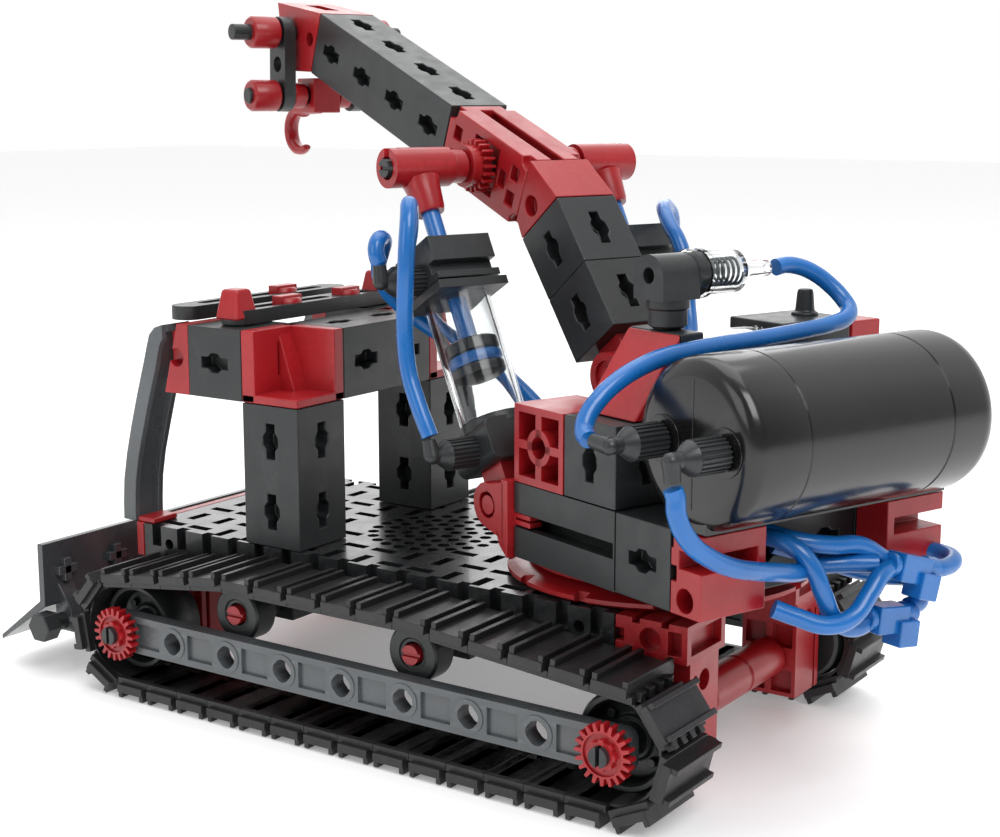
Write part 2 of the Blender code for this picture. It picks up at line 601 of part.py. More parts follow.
def empty(name, location, turn, parent):
    made = new_object(name, None, OBJECT)
    made.location = Vector(location) * MM
    made.rotation_euler = (0.0, 0.0, math.radians(turn))
    made.parent = parent
    return made


for old in list(bpy.data.objects):
    bpy.data.objects.remove(old)
OBJECT = bpy.data.collections.new("hydraulic_arm_crawler")
GUIDES = bpy.data.collections.new("cutters_and_guides")
bpy.context.scene.collection.children.link(OBJECT)
bpy.context.scene.collection.children.link(GUIDES)
CHASSIS = empty("chassis_frame", (SHIFT_X, SHIFT_Y, 0.0), 0.0, None)
UPPER = empty("slew_axis", (0.0, SLEW_Y, 0.0), SLEW_DEG, CHASSIS)
deck_plate()
front_cross_bar()
axle_carrier("front_axle_carrier", -AXLE_Y, DECK_Z[0] - GAP, False)
axle_carrier("rear_axle_carrier", AXLE_Y, 27.0, True)
side_struts()
axles()
wheels()
tracks()
cab_frame()
blade()
turntable_base()
slew_frame()
boom_foot()
air_tank()
pump()
valve()
lower_boom()
upper_boom()
hook_gear()
rams()
hoses()
hose_tee()
bpy.context.view_layer.update()
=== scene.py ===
"""Visual model of a toy hydraulic arm on a tracked crawler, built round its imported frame.

Helpers work in millimetres. Chassis axes: X across, Y rearwards, Z up.
Slew axes: U across, V rearwards, Z up, turned about the turntable.
"""

import math

import bmesh
import bpy
from mathutils import Matrix, Vector


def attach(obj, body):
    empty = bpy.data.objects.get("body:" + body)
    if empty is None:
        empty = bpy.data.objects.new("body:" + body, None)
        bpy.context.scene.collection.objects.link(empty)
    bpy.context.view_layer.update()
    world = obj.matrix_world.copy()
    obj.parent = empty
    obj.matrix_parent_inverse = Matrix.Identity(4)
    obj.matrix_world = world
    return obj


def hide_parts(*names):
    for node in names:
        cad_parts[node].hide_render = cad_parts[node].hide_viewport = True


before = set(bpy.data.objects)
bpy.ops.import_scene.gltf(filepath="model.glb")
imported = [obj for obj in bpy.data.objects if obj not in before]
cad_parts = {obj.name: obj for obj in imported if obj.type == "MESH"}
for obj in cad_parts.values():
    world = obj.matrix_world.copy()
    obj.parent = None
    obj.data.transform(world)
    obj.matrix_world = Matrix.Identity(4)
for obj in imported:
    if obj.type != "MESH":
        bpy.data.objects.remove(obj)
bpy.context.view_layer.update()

MM = 0.001
SHIFT = Vector((5.172, -3.812, 0.0))
SLEW_Y, SLEW_DEG = 43.8, -20.0
CHASSIS = Matrix.Scale(MM, 4) @ Matrix.Translation(SHIFT)
UPPER = CHASSIS @ Matrix.Translation((0.0, SLEW_Y, 0.0)) @ Matrix.Rotation(math.radians(SLEW_DEG), 4, "Z")

GRID = 15.0
AXLE_Y, AXLE_Z, AXLE_R = 60.0, 14.0, 1.9
ROLLER_R = 5.8
ROLLERS = {"front": (-31.2, 21.6), "rear": (13.8, 21.6)}
BELT_IN_R, LINKS = 9.8, 35
TRACK_X = (30.9, 47.9)
DECK_X, DECK_Y, DECK_Z = 30.0, (-68.7, 51.3), (25.7, 33.2)
BLADE_PIVOT = (-84.0, 11.0)
CAB_Z = (63.2, 78.2)
POST_Y = (-38.6, -23.6)
FOOT = (-7.3, 71.7)
BOOM_PITCH, FORE_PITCH = math.radians(52.3), math.radians(21.0)
ELBOW = (-49.9, 111.2)
RAM_U, RAM_FOOT = 24.0, (-14.5, 48.1)
TIP, LINK_LOW, HOOK = (-131.0, 140.7), (-131.5, 125.7), (-141.0, 117.0)
PUMP_VZ, VALVE_Z = (15.0, 76.5), 93.7
TANK_VZ, TANK_R, TANK_U = (42.2, 69.0), 14.8, 30.0
HOSE_R = 1.65

# ------------------------------------------------------------------ camera

EYE = Vector((290.54, 204.42, 125.59))
LOOK = Vector((-0.8113, -0.5550, -0.1837))


def make_camera():
    data = bpy.data.cameras.new("camera")
    data.sensor_width = 36.0
    data.lens = 62.13
    data.clip_start = 0.01
    camera = bpy.data.objects.new("camera", data)
    bpy.context.scene.collection.objects.link(camera)
    camera.location = CHASSIS @ EYE
    camera.rotation_mode = "QUATERNION"
    camera.rotation_quaternion = LOOK.to_track_quat("-Z", "Y")
    bpy.context.scene.camera = camera


make_camera()

# ------------------------------------------------------------------ materials


def plastic(name, rgb, rough, grain=0.0, coat=0.0, wear=0.35, grain_scale=2500.0):
    """Moulded plastic: uneven colour, a fine or coarse grain and edges that are a little lighter."""
    made = bpy.data.materials.new(name)
    made.use_nodes = True
    nodes, links = made.node_tree.nodes, made.node_tree.links
    shader = nodes["Principled BSDF"]
    place = nodes.new("ShaderNodeTexCoord")

    def noise(scale, detail=3.0):
        node = nodes.new("ShaderNodeTexNoise")
        node.inputs["Scale"].default_value = scale
        node.inputs["Detail"].default_value = detail
        links.new(place.outputs["Object"], node.inputs["Vector"])
        return node

    def ramp(source, low, high, low_value, high_value):
        node = nodes.new("ShaderNodeMapRange")
        limits = {"From Min": low, "From Max": high, "To Min": low_value, "To Max": high_value}
        for key, value in limits.items():
            node.inputs[key].default_value = value
        links.new(source, node.inputs["Value"])
        return node.outputs["Result"]

    def blend(factor, first, second, mode="MIX"):
        node = nodes.new("ShaderNodeMix")
        node.data_type = "RGBA"
        node.blend_type = mode
        links.new(factor, node.inputs[0])
        for socket, value in ((6, first), (7, second)):
            if isinstance(value, tuple):
                node.inputs[socket].default_value = (*value, 1.0)
            else:
                links.new(value, node.inputs[socket])
        return node.outputs[2]

    cloud = noise(60.0)
    darker = tuple(c * 0.86 for c in rgb)
    lighter = tuple(min(1.0, c * 1.12 + 0.002) for c in rgb)
    base = blend(ramp(cloud.outputs["Fac"], 0.3, 0.7, 0.0, 1.0), darker, lighter)
    edges = nodes.new("ShaderNodeNewGeometry")
    scuffs = noise(900.0, 4.0)
    worn = nodes.new("ShaderNodeMath")
    worn.operation = "MULTIPLY"
    links.new(ramp(edges.outputs["Pointiness"], 0.52, 0.62, 0.0, wear), worn.inputs[0])
    links.new(ramp(scuffs.outputs["Fac"], 0.35, 0.65, 0.3, 1.0), worn.inputs[1])
    pale = tuple(min(1.0, c * 1.7 + 0.03) for c in rgb)
    links.new(blend(worn.outputs[0], base, pale), shader.inputs["Base Color"])
    patches = noise(220.0)
    links.new(ramp(patches.outputs["Fac"], 0.3, 0.7, rough * 0.85, rough * 1.2), shader.inputs["Roughness"])
    fine = noise(grain_scale, 2.0)
    bump = nodes.new("ShaderNodeBump")
    bump.inputs["Strength"].default_value = 0.12 + grain
    bump.inputs["Distance"].default_value = 0.00004 + 0.0001 * grain
    links.new(fine.outputs["Fac"], bump.inputs["Height"])
    links.new(bump.outputs["Normal"], shader.inputs["Normal"])
    shader.inputs["Coat Weight"].default_value = coat
    shader.inputs["Coat Roughness"].default_value = 0.08
    shader.inputs["IOR"].default_value = 1.5
    return made


def clear_plastic(name, tint, rough):
    made = plastic(name, tint, rough, wear=0.0)
    shader = made.node_tree.nodes["Principled BSDF"]
    shader.inputs["Transmission Weight"].default_value = 1.0
    shader.inputs["IOR"].default_value = 1.30
    return made


RED = plastic("red_moulded", (0.33, 0.006, 0.010), 0.34, coat=0.1)
BLACK = plastic("black_moulded", (0.014, 0.0165, 0.0175), 0.38, coat=0.05)
GRAINED = plastic("black_grained", (0.013, 0.014, 0.015), 0.42, grain=0.5, grain_scale=1400.0)
DECK = plastic("deck_black", (0.010, 0.011, 0.012), 0.28, coat=0.2)
TRACK = plastic("track_black", (0.010, 0.010, 0.011), 0.40, grain=0.45, grain_scale=1800.0)
GLOSS = plastic("tank_black", (0.003, 0.003, 0.0035), 0.20, coat=0.2)
GREY = plastic("grey_moulded", (0.085, 0.094, 0.10), 0.30, coat=0.2)
STEELGREY = plastic("blade_grey", (0.040, 0.044, 0.048), 0.26, coat=0.3)
BLUE = plastic("blue_hose", (0.002, 0.125, 0.42), 0.30, coat=0.35, wear=0.1)
CLEAR = clear_plastic("clear_tube", (0.93, 0.96, 0.97), 0.03)

# ------------------------------------------------------------------ shapes


def mesh_object(shape, name="shape"):
    mesh = bpy.data.meshes.new(name)
    shape.to_mesh(mesh)
    shape.free()
    obj = bpy.data.objects.new(name, mesh)
    bpy.context.scene.collection.objects.link(obj)
    return obj


def box(low, high):
    low = Vector(low)
    high = Vector(high)
    shape = bmesh.new()
    matrix = Matrix.Translation((low + high) / 2) @ Matrix.Diagonal((*(high - low), 1.0))
    bmesh.ops.create_cube(shape, size=1.0, matrix=matrix)
    return mesh_object(shape)


def rod(start, end, radius, sides=32, end_radius=None):
    start, end = Vector(start), Vector(end)
    axis = end - start
    turn = axis.to_track_quat("Z", "Y").to_matrix().to_4x4()
    shape = bmesh.new()
    bmesh.ops.create_cone(shape, cap_ends=True, segments=sides, radius1=radius,
                          radius2=radius if end_radius is None else end_radius, depth=axis.length,
                          matrix=Matrix.Translation((start + end) / 2) @ turn)
    return mesh_object(shape)


def across(low, high, spot, radius, sides=32):
    return rod((low, *spot), (high, *spot), radius, sides)


def loft(rings, closed_ends=True):
    """Skin between rings of equally many points."""
    shape = bmesh.new()
    rows = [[shape.verts.new(p) for p in ring_] for ring_ in rings]
    for a, b in zip(rows, rows[1:]):
        for i in range(len(a)):
            j = (i + 1) % len(a)
            shape.faces.new((a[i], a[j], b[j], b[i]))
    if closed_ends:
        shape.faces.new(rows[0][::-1])
        shape.faces.new(rows[-1])
    bmesh.ops.recalc_face_normals(shape, faces=shape.faces)
    return mesh_object(shape)


def lathe(profile, start, axis, sides=40):
    """Turned solid: profile holds (distance along the axis, radius)."""
    start, axis = Vector(start), Vector(axis).normalized()
    side = axis.orthogonal().normalized()
    other = axis.cross(side)
    rings = []
    for distance, radius in profile:
        rings.append([start + axis * distance + radius * (math.cos(a) * side + math.sin(a) * other)
                      for a in (2 * math.pi * i / sides for i in range(sides))])
    if profile[0] != profile[-1]:
        return loft(rings)
    hollow = loft(rings, False)
    shape = bmesh.new()
    shape.from_mesh(hollow.data)
    bmesh.ops.remove_doubles(shape, verts=shape.verts, dist=0.001)
    bmesh.ops.recalc_face_normals(shape, faces=shape.faces)
    shape.to_mesh(hollow.data)
    shape.free()
    return hollow


def prism(points, x_low, x_high, holes=()):
    """Flat outline in the (Y, Z) plane, as thick as its span in X; holes are smaller outlines."""
    curve = bpy.data.curves.new("outline", "CURVE")
    curve.dimensions = "2D"
    curve.fill_mode = "BOTH"
    curve.extrude = (x_high - x_low) / 2
    for ring_ in (points, *holes):
        spline = curve.splines.new("POLY")
        spline.points.add(len(ring_) - 1)
        for point, (y, z) in zip(spline.points, ring_):
            point.co = (y, z, 0.0, 1.0)
        spline.use_cyclic_u = True
    guide = bpy.data.objects.new("outline", curve)
    bpy.context.scene.collection.objects.link(guide)
    mesh = bpy.data.meshes.new_from_object(guide)
    bpy.data.objects.remove(guide)
    bpy.data.curves.remove(curve)
    shape = bmesh.new()
    shape.from_mesh(mesh)
    bpy.data.meshes.remove(mesh)
    plane = Matrix(((0, 0, 1, (x_low + x_high) / 2), (1, 0, 0, 0), (0, 1, 0, 0), (0, 0, 0, 1)))
    bmesh.ops.transform(shape, matrix=plane, verts=shape.verts)
    bmesh.ops.remove_doubles(shape, verts=shape.verts, dist=0.001)
    bmesh.ops.recalc_face_normals(shape, faces=shape.faces)
    return mesh_object(shape)


def ring(spot, radius, sides=24):
    return [(spot[0] + radius * math.cos(2 * math.pi * i / sides),
             spot[1] + radius * math.sin(2 * math.pi * i / sides)) for i in range(sides)]


def arc(spot, radius, first, step, count):
    """Points on a circle, from a first angle on by equal steps in degrees."""
    angles = [math.radians(first + step * k) for k in range(count)]
    return [(spot[0] + radius * math.cos(t), spot[1] + radius * math.sin(t)) for t in angles]


def level_rectangle(x, y, z, half_x, half_y):
    return [(x - half_x, y - half_y, z), (x + half_x, y - half_y, z),
            (x + half_x, y + half_y, z), (x - half_x, y + half_y, z)]


def gear_outline(spot, radius, teeth=20, depth=1.5):
    """Rounded teeth round a circle."""
    points = []
    root, tip = radius - depth, radius - 0.1
    for i in range(teeth):
        for part, r in ((-0.32, root), (-0.16, tip), (0.16, tip), (0.32, root)):
            angle = 2 * math.pi * (i + part) / teeth
            points.append((spot[0] + r * math.cos(angle), spot[1] + r * math.sin(angle)))
    return points


def merge(objs):
    """One object from several, without a boolean."""
    shape = bmesh.new()
    for obj in objs:
        obj.data.transform(obj.matrix_basis)
        shape.from_mesh(obj.data)
        drop(obj)
    return mesh_object(shape)


def drop(obj):
    mesh = obj.data
    bpy.data.objects.remove(obj)
    bpy.data.meshes.remove(mesh)


def boolean(base, tools, operation="DIFFERENCE"):
    """Cut shapes out of a base, or add them, and keep the result as a mesh."""
    if not tools:
        return base
    tool = merge(tools)
    step = base.modifiers.new("step", "BOOLEAN")
    step.solver = "EXACT"
    step.operation = operation
    step.object = tool
    bpy.context.view_layer.update()
    graph = bpy.context.evaluated_depsgraph_get()
    mesh = bpy.data.meshes.new_from_object(base.evaluated_get(graph))
    base.modifiers.clear()
    old = base.data
    base.data = mesh
    bpy.data.meshes.remove(old)
    drop(tool)
    return base


def cut(base, tools):
    """Cut shapes that don't touch each other out of a base."""
    return boolean(base, tools)


def carve(base, tools):
    """Cut shapes that overlap each other out of a base, one after another."""
    for tool in tools:
        boolean(base, [tool])
    return base


def keyhole(spot, normal, long_side, depth=3.2, length=3.7):
    """Cutter for the round hole with a slot through it that the blocks have in their faces."""
    spot, normal, long_side = Vector(spot), Vector(normal).normalized(), Vector(long_side).normalized()
    side = long_side.cross(normal)
    half, radius = 1.15, 2.0
    outline = [(half, length), (half, 1.9), (radius, 0.9), (radius, -0.9), (half, -1.9), (half, -length)]
    outline += [(-x, -y) for x, y in outline]
    rings = [[spot + side * x + long_side * y + normal * lift for x, y in outline] for lift in (1.0, -depth)]
    return loft(rings)


def block_keys(low, high, faces, step=GRID):
    """Keyholes every 15 mm down the middle of the named faces of a block; a face is (axis, sign, along)."""
    low, high = Vector(low), Vector(high)
    cutters = []
    for axis, sign, run in faces:
        count = max(1, round((high[run] - low[run]) / step))
        for i in range(count):
            spot = (low + high) / 2
            spot[axis] = high[axis] if sign > 0 else low[axis]
            spot[run] = low[run] + (high[run] - low[run]) * (i + 0.5) / count
            normal = Vector((0, 0, 0))
            normal[axis] = sign
            way = Vector((0, 0, 0))
            way[run] = 1.0
            cutters.append(keyhole(spot, normal, way))
    return cutters


def tilted(objs, pivot, pitch):
    """Turn shapes built along +Y from a pivot so that they point forward and up at a pitch."""
    merged = objs if isinstance(objs, list) else [objs]
    turn = Matrix.Translation((0, *pivot)) @ Matrix.Rotation(math.pi - pitch, 4, "X") @ \
        Matrix.Translation((0, -pivot[0], -pivot[1]))
    for obj in merged:
        obj.data.transform(turn)
    return merged


def tilted_about(objs, spot, turn):
    """Turn shapes about the V direction through one spot."""
    move = Matrix.Translation(spot) @ Matrix.Rotation(-turn, 4, "Y") @ Matrix.Translation(-spot)
    for obj in objs:
        obj.data.transform(move)
    return objs


def along(start, pitch, distance, lift=0.0):
    lead = (-math.cos(pitch), math.sin(pitch))
    up = (math.sin(pitch), math.cos(pitch))
    return (start[0] + distance * lead[0] + lift * up[0], start[1] + distance * lead[1] + lift * up[1])


def both_sides():
    return (("left", 1.0), ("right", -1.0))


def span(side, low, high):
    return (low, high) if side > 0 else (-high, -low)


def put(name, shapes, look, home, body, cad=(), bevel=0.35, smooth=True):
    """Finish a piece: place it, round its edges, give it its material and let it ride a body."""
    obj = merge(shapes) if isinstance(shapes, list) else shapes
    obj.name = name
    obj.data.name = name
    obj.data.transform(home)
    if home.determinant() < 0:
        obj.data.flip_normals()
    if smooth:
        obj.data.shade_smooth()
    obj.data.materials.clear()
    obj.data.materials.append(look)
    if bevel:
        step = obj.modifiers.new("edge", "BEVEL")
        step.width = bevel * MM
        step.segments = 2
        step.limit_method = "ANGLE"
        step.angle_limit = math.radians(40)
        step.harden_normals = True
    else:
        sharpen(obj)
    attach(obj, body)
    if cad:
        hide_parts(*cad)
    return obj


def sharpen(obj):
    """Keep flat faces flat where a piece has no bevel."""
    shape = bmesh.new()
    shape.from_mesh(obj.data)
    for edge in shape.edges:
        if len(edge.link_faces) == 2 and edge.calc_face_angle(0.0) > math.radians(35):
            edge.smooth = False
    shape.to_mesh(obj.data)
    shape.free()


# ------------------------------------------------------------------ hoses

HOSES = {
    "hose_valve": ("slewing_body", [
        (-14.5, 15.3, 93.7), (-17.0, 15.3, 94.0), (-20.0, 15.8, 93.6), (-23.0, 17.0, 92.3),
        (-25.6, 18.8, 90.0), (-26.9, 20.9, 87.6), (-26.6, 23.0, 85.7), (-24.0, 24.8, 84.4),
        (-19.5, 25.2, 83.5), (-14.0, 25.3, 83.0), (-8.0, 25.3, 82.6), (-2.0, 25.3, 82.3),
        (4.0, 25.3, 82.1), (10.0, 25.4, 81.9), (16.0, 25.4, 81.5), (22.0, 25.4, 80.9),
        (27.5, 25.5, 79.6), (32.5, 25.6, 77.6), (36.5, 25.7, 75.0), (39.3, 26.0, 72.2),
        (40.8, 27.2, 70.0), (41.5, 29.4, 69.2)]),
    "hose_ram_low": ("ram_barrel_left", [
        (40.4, -20.6, 61.6), (40.8, -22.0, 64.4), (41.1, -24.2, 68.4), (41.3, -26.4, 73.0),
        (41.3, -27.6, 78.0), (41.2, -28.0, 83.0), (41.1, -27.9, 88.0), (40.9, -27.8, 94.0),
        (40.3, -28.2, 99.0), (39.2, -29.4, 103.0), (37.8, -31.4, 105.0), (36.2, -33.4, 104.4),
        (35.0, -35.2, 102.0), (34.2, -36.8, 99.2), (33.8, -38.2, 96.6)]),
    "hose_ram_far": ("ram_barrel_right", [
        (-35.6, -38.4, 93.6), (-35.6, -38.3, 96.6), (-34.4, -37.2, 99.6), (-31.0, -35.0, 101.8),
        (-27.2, -31.6, 102.2), (-24.2, -27.8, 101.2), (-22.4, -24.0, 98.8), (-22.0, -20.8, 95.8),
        (-22.0, -18.8, 91.6), (-22.0, -18.0, 87.0), (-21.6, -17.0, 82.6), (-20.4, -15.0, 78.8),
        (-18.6, -12.8, 75.6), (-17.0, -11.2, 72.6)]),
    "hose_ram_high": ("ram_barrel_left", [
        (40.4, -38.4, 93.4), (40.8, -38.8, 95.4), (40.2, -39.4, 97.2), (38.6, -40.6, 98.0),
        (36.8, -42.2, 97.2), (36.0, -44.4, 95.0), (35.2, -47.0, 91.6), (32.8, -49.0, 87.6),
        (28.8, -49.4, 83.4), (24.0, -48.2, 79.4), (19.4, -44.6, 75.8), (15.6, -40.0, 72.6),
        (13.4, -34.4, 69.6), (12.6, -28.6, 66.6), (12.2, -23.4, 63.6), (12.0, -19.6, 61.0)]),
    "hose_tank": ("slewing_body", [
        (41.3, 50.4, 64.6), (40.9, 50.6, 63.2), (40.8, 50.8, 60.6), (38.1, 51.0, 55.7),
        (33.8, 51.0, 52.4), (28.6, 50.8, 49.9), (22.8, 50.2, 48.2), (16.7, 48.8, 46.7),
        (8.6, 46.6, 44.9), (4.0, 45.0, 44.8), (-0.5, 46.6, 44.9), (-3.6, 49.2, 45.1),
        (-6.0, 51.3, 45.2)]),
}


def blue_curve(name, points, rounding, steps):
    """Round hose through a row of points."""
    curve = bpy.data.curves.new(name, "CURVE")
    curve.dimensions = "3D"
    curve.bevel_depth = HOSE_R * MM
    curve.bevel_resolution = rounding
    curve.resolution_u = steps
    curve.use_fill_caps = True
    spline = curve.splines.new("BEZIER")
    spline.bezier_points.add(len(points) - 1)
    for point, spot in zip(spline.bezier_points, points):
        point.co = spot
        point.handle_left_type = "AUTO"
        point.handle_right_type = "AUTO"
    obj = bpy.data.objects.new(name, curve)
    bpy.context.scene.collection.objects.link(obj)
    curve.materials.append(BLUE)
    return obj


def hose(name):
    body, route = HOSES[name]
    points = [UPPER @ Vector(p) for p in route]
    obj = blue_curve(name, points, 6, 6)
    length = sum((b - a).length for a, b in zip(points, points[1:]))
    tuple(points[0])
    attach(obj, body)
    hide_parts(name)


for hose_name in HOSES:
    hose(hose_name)

# ------------------------------------------------------------------ chassis


def plate(points, z_low, z_high, holes=()):
    """Flat outline in the (X, Y) plane."""
    obj = prism(points, z_low, z_high, holes)
    obj.data.transform(Matrix(((0, 1, 0, 0), (0, 0, 1, 0), (1, 0, 0, 0), (0, 0, 0, 1))))
    return obj


def rounded(x_low, x_high, y_low, y_high, radius, steps=5):
    corners = ((x_high, y_high, 0), (x_low, y_high, 1), (x_low, y_low, 2), (x_high, y_low, 3))
    points = []
    for x, y, quarter in corners:
        cx = x - math.copysign(radius, x - (x_low + x_high) / 2)
        cy = y - math.copysign(radius, y - (y_low + y_high) / 2)
        for i in range(steps + 1):
            angle = math.pi / 2 * (quarter + i / steps)
            points.append((cx + radius * math.cos(angle), cy + radius * math.sin(angle)))
    return points


def deck():
    """Base plate: slotted grid on top, a round grille, notched sides and roller blocks."""
    low, high = (-DECK_X, DECK_Y[0], DECK_Z[0]), (DECK_X, DECK_Y[1], DECK_Z[1])
    body = box(low, high)
    top = DECK_Z[1]
    cutters = []
    for i in range(8):
        for j in range(15):
            x, y = -26.25 + 7.5 * i, -63.0 + 7.5 * j
            if math.hypot(x, y + 10.0) < 17.0:
                continue
            long_x = (i + j // 2) % 2 == 0
            half = (2.9, 1.15) if long_x else (1.15, 2.9)
            cutters.append(box((x - half[0], y - half[1], top - 1.6), (x + half[0], y + half[1], top + 1.0)))
    for ring_r, count in ((3.4, 6), (7.0, 12), (10.8, 18), (14.4, 24)):
        for k in range(count):
            angle = 2 * math.pi * k / count
            x, y = ring_r * math.cos(angle), -10.0 + ring_r * math.sin(angle)
            cutters.append(rod((x, y, top - 1.4), (x, y, top + 1.0), 1.35, 8))
    notches = []
    for side in (-1, 1):
        for k in range(16):
            y = DECK_Y[0] + 3.75 + 7.5 * k
            x_low, x_high = sorted((side * (DECK_X - 1.8), side * (DECK_X + 1.0)))
            notches.append(box((x_low, y - 1.3, top - 4.6), (x_high, y + 1.3, top + 1.0)))
            notches.append(box((x_low, y + 2.3, DECK_Z[0] - 1), (x_high, y + 5.3, DECK_Z[0] + 1.4)))
    body = cut(cut(body, cutters), notches)
    channels = [across(side * 27.2, side * 31.0, (y, 29.4), 1.2, 16)
                for side in (-1, 1) for y in (DECK_Y[0] + 7.5, DECK_Y[1] - 7.5)]
    put("deck_plate", cut(body, channels), DECK, CHASSIS, "chassis", ["deck_plate"], 0.2)
    mounts = []
    pins = []
    for _, side in both_sides():
        for y, z in ROLLERS.values():
            a, b = span(side, 20.0, 29.8)
            mounts.append(box((a, y - 5.0, z - 3.5), (b, y + 5.0, DECK_Z[0] - 0.1)))
            mounts.append(across(side * 29.0, side * 35.0, (y, z), 2.6, 24))
            pin = across(side * 30.0, side * 42.2, (y, z), 2.0, 24)
            slot_low, slot_high = span(side, 41.6, 43.0)
            pins.append(cut(pin, [box((slot_low, y - 3, z - 0.35), (slot_high, y + 3, z + 0.35))]))
    put("roller_blocks", mounts, BLACK, CHASSIS, "chassis")
    put("roller_pins", pins, RED, CHASSIS, "chassis", bevel=0.12)


def front_bar():
    low, high = (-DECK_X, -71.2, DECK_Z[0]), (DECK_X, -69.0, DECK_Z[1])
    bar = box(low, high)
    holes = [rod((x, -68.0, 29.4), (x, -72.0, 29.4), 2.0, 20) for x in (-22.5, -7.5, 7.5, 22.5)]
    y, z = BLADE_PIVOT
    arm = [(-69.2, 27.0), (-71.2, 27.0), (-81.0, 14.6), (-85.0, 14.2), (y - 3.3, z), (y, z - 3.3),
           (-69.2, 17.0)]
    pocket = [(-71.5, 23.0), (-79.0, 13.6), (-71.5, 19.4)]
    shapes = [cut(bar, holes)]
    for _, side in both_sides():
        shapes.append(prism(arm, *span(side, 15.0, 22.5), [pocket]))
        a, b = span(side, 14.0, 23.5)
        shapes.append(across(a, b, BLADE_PIVOT, 2.9, 28))
    for x in (-26.0, 26.0):
        shapes.append(box((x - 3.6, -71.0, DECK_Z[1]), (x + 3.6, -66.0, DECK_Z[1] + 1.2)))
    put("front_cross_bar", shapes, RED, CHASSIS, "chassis", ["front_cross_bar"])


def axle_hangers():
    """Red legs under the deck with the sleeve between them; the rear ones carry slotted blocks."""
    carriers = (("front_axle_carrier", -AXLE_Y, DECK_Z[0] - 0.3), ("rear_axle_carrier", AXLE_Y, 27.0))
    for name, y, top in carriers:
        shapes = []
        for _, side in both_sides():
            a, b = span(side, 17.0, 28.0)
            leg = box((a, y - 6.0, 6.0), (b, y + 6.0, top))
            x = side * 22.5
            cuts = [rod((x, y - 7.0, 21.5), (x, y + 7.0, 21.5), 2.0, 20)]
            outer_low, outer_high = sorted((side * 26.6, side * 29))
            for zz in (7.6, 18.4):
                cuts.append(box((outer_low, y - 4.2, zz), (outer_high, y + 4.2, zz + 3.6)))
            groove = side * 26.0
            cuts.append(box((groove - 0.45, y + 1.0, 4.0), (groove + 0.45, y + 7.0, 23.0)))
            inner_low, inner_high = sorted((side * 16.0, side * 18.4))
            for yy in (y - 2.9, y + 2.9):
                for zz in (9.2, 18.6):
                    cuts.append(box((inner_low, yy - 2.2, zz - 2.3), (inner_high, yy + 2.2, zz + 2.3)))
            shapes.append(carve(leg, cuts))
            if y > 0:
                a, b = span(side, 15.3, 30.0)
                block = box((a, DECK_Y[1] + 0.3, 26.0), (b, 66.4, DECK_Z[1]))
                face_low, face_high = span(side, 27.4, 31.0)
                cuts = [across(face_low, face_high, (58.8, 29.6), 2.2, 24),
                        box((face_low, 50.0, 28.4), (face_high, 53.4, 30.8)),
                        box((face_low, 62.4, 27.4), (face_high, 65.2, 31.8)),
                        box((a + 1.6, 64.6, 27.4), (b - 1.6, 67.0, 31.8)),
                        box((a - 1, 55.0, 32.2), (b + 1, 56.6, 34.0)),
                        box((a - 1, 61.0, 32.2), (b + 1, 62.6, 34.0))]
                shapes.append(cut(block, cuts))
                shapes.append(box((side * 27.0 - 1.0, 49.8, 28.6), (side * 27.0 + 1.0, 52.6, 30.4)))
        sleeve = [(0, 3.4), (0.6, 4.0), (14.4, 4.0), (15.0, 3.4), (15.6, 4.0), (29.4, 4.0), (30.0, 3.4),
                  (30.6, 4.0), (34.0, 4.0)]
        shapes.append(lathe(sleeve, (-17.0, y, AXLE_Z), (1, 0, 0), 36))
        put(name, shapes, RED, CHASSIS, "chassis", [name], 0.3)


def strut(name, side):
    """Grey hole beam: ringed holes every 15 mm and sunk panels between them."""
    a, b = span(side, 42.6, 45.9)
    half = 4.0
    body = prism(rounded(-64.0, 64.0, AXLE_Z - half, AXLE_Z + half, 2.0), a, b)
    cuts = []
    for i in range(8):
        y = GRID * (i - 3.5)
        for face in (a, b):
            cuts.append(box((face - 0.75, y - 3.4, AXLE_Z - 2.6), (face + 0.75, y + 3.4, AXLE_Z + 2.6)))
    body = cut(body, cuts)
    holes = []
    rims = []
    for i in range(9):
        spot = (GRID * (i - 4), AXLE_Z)
        rims.append(prism(ring(spot, 3.3, 28), a - 0.2, b + 0.2))
        lobes = [(spot[0] + 2.15 * math.cos(t) * (1 + 0.10 * abs(math.cos(2 * t))),
                  spot[1] + 2.15 * math.sin(t) * (1 + 0.10 * abs(math.cos(2 * t))))
                 for t in (2 * math.pi * k / 32 for k in range(32))]
        holes.append(prism(lobes, a - 2.0, b + 2.0))
    body = boolean(body, rims, "UNION")
    body = cut(body, holes)
    put("side_strut_" + name, body, GREY, CHASSIS, "chassis", ["side_strut_" + name], 0.2)


def axles():
    for name, y in (("front_axle", -AXLE_Y), ("rear_axle", AXLE_Y)):
        bar = across(-50.0, 50.0, (y, AXLE_Z), AXLE_R, 28)
        cuts = []
        for _, side in both_sides():
            a, b = span(side, 48.9, 51.0)
            cuts.append(box((a, y - 0.4, AXLE_Z - 3), (b, y + 0.4, AXLE_Z + 3)))
        put(name, cut(bar, cuts), BLACK, CHASSIS, "chassis", [name], 0.15)
        for tag, side in both_sides():
            a, b = span(side, 46.3, 48.4)
            spot = (y, AXLE_Z)
            disc = prism(gear_outline(spot, 5.75), a, b)
            face_low, face_high = span(side, 47.9, 49.5)
            recess = prism(ring(spot, 3.9, 28), face_low, face_high)
            disc = cut(disc, [recess])
            a2, b2 = span(side, 47.4, 48.9)
            hub = prism(gear_outline(spot, 3.0, 8, 0.5), a2, b2)
            put("lock_gear_%s_%s" % (name, tag), [disc, hub], RED, CHASSIS, "chassis", bevel=0.12)


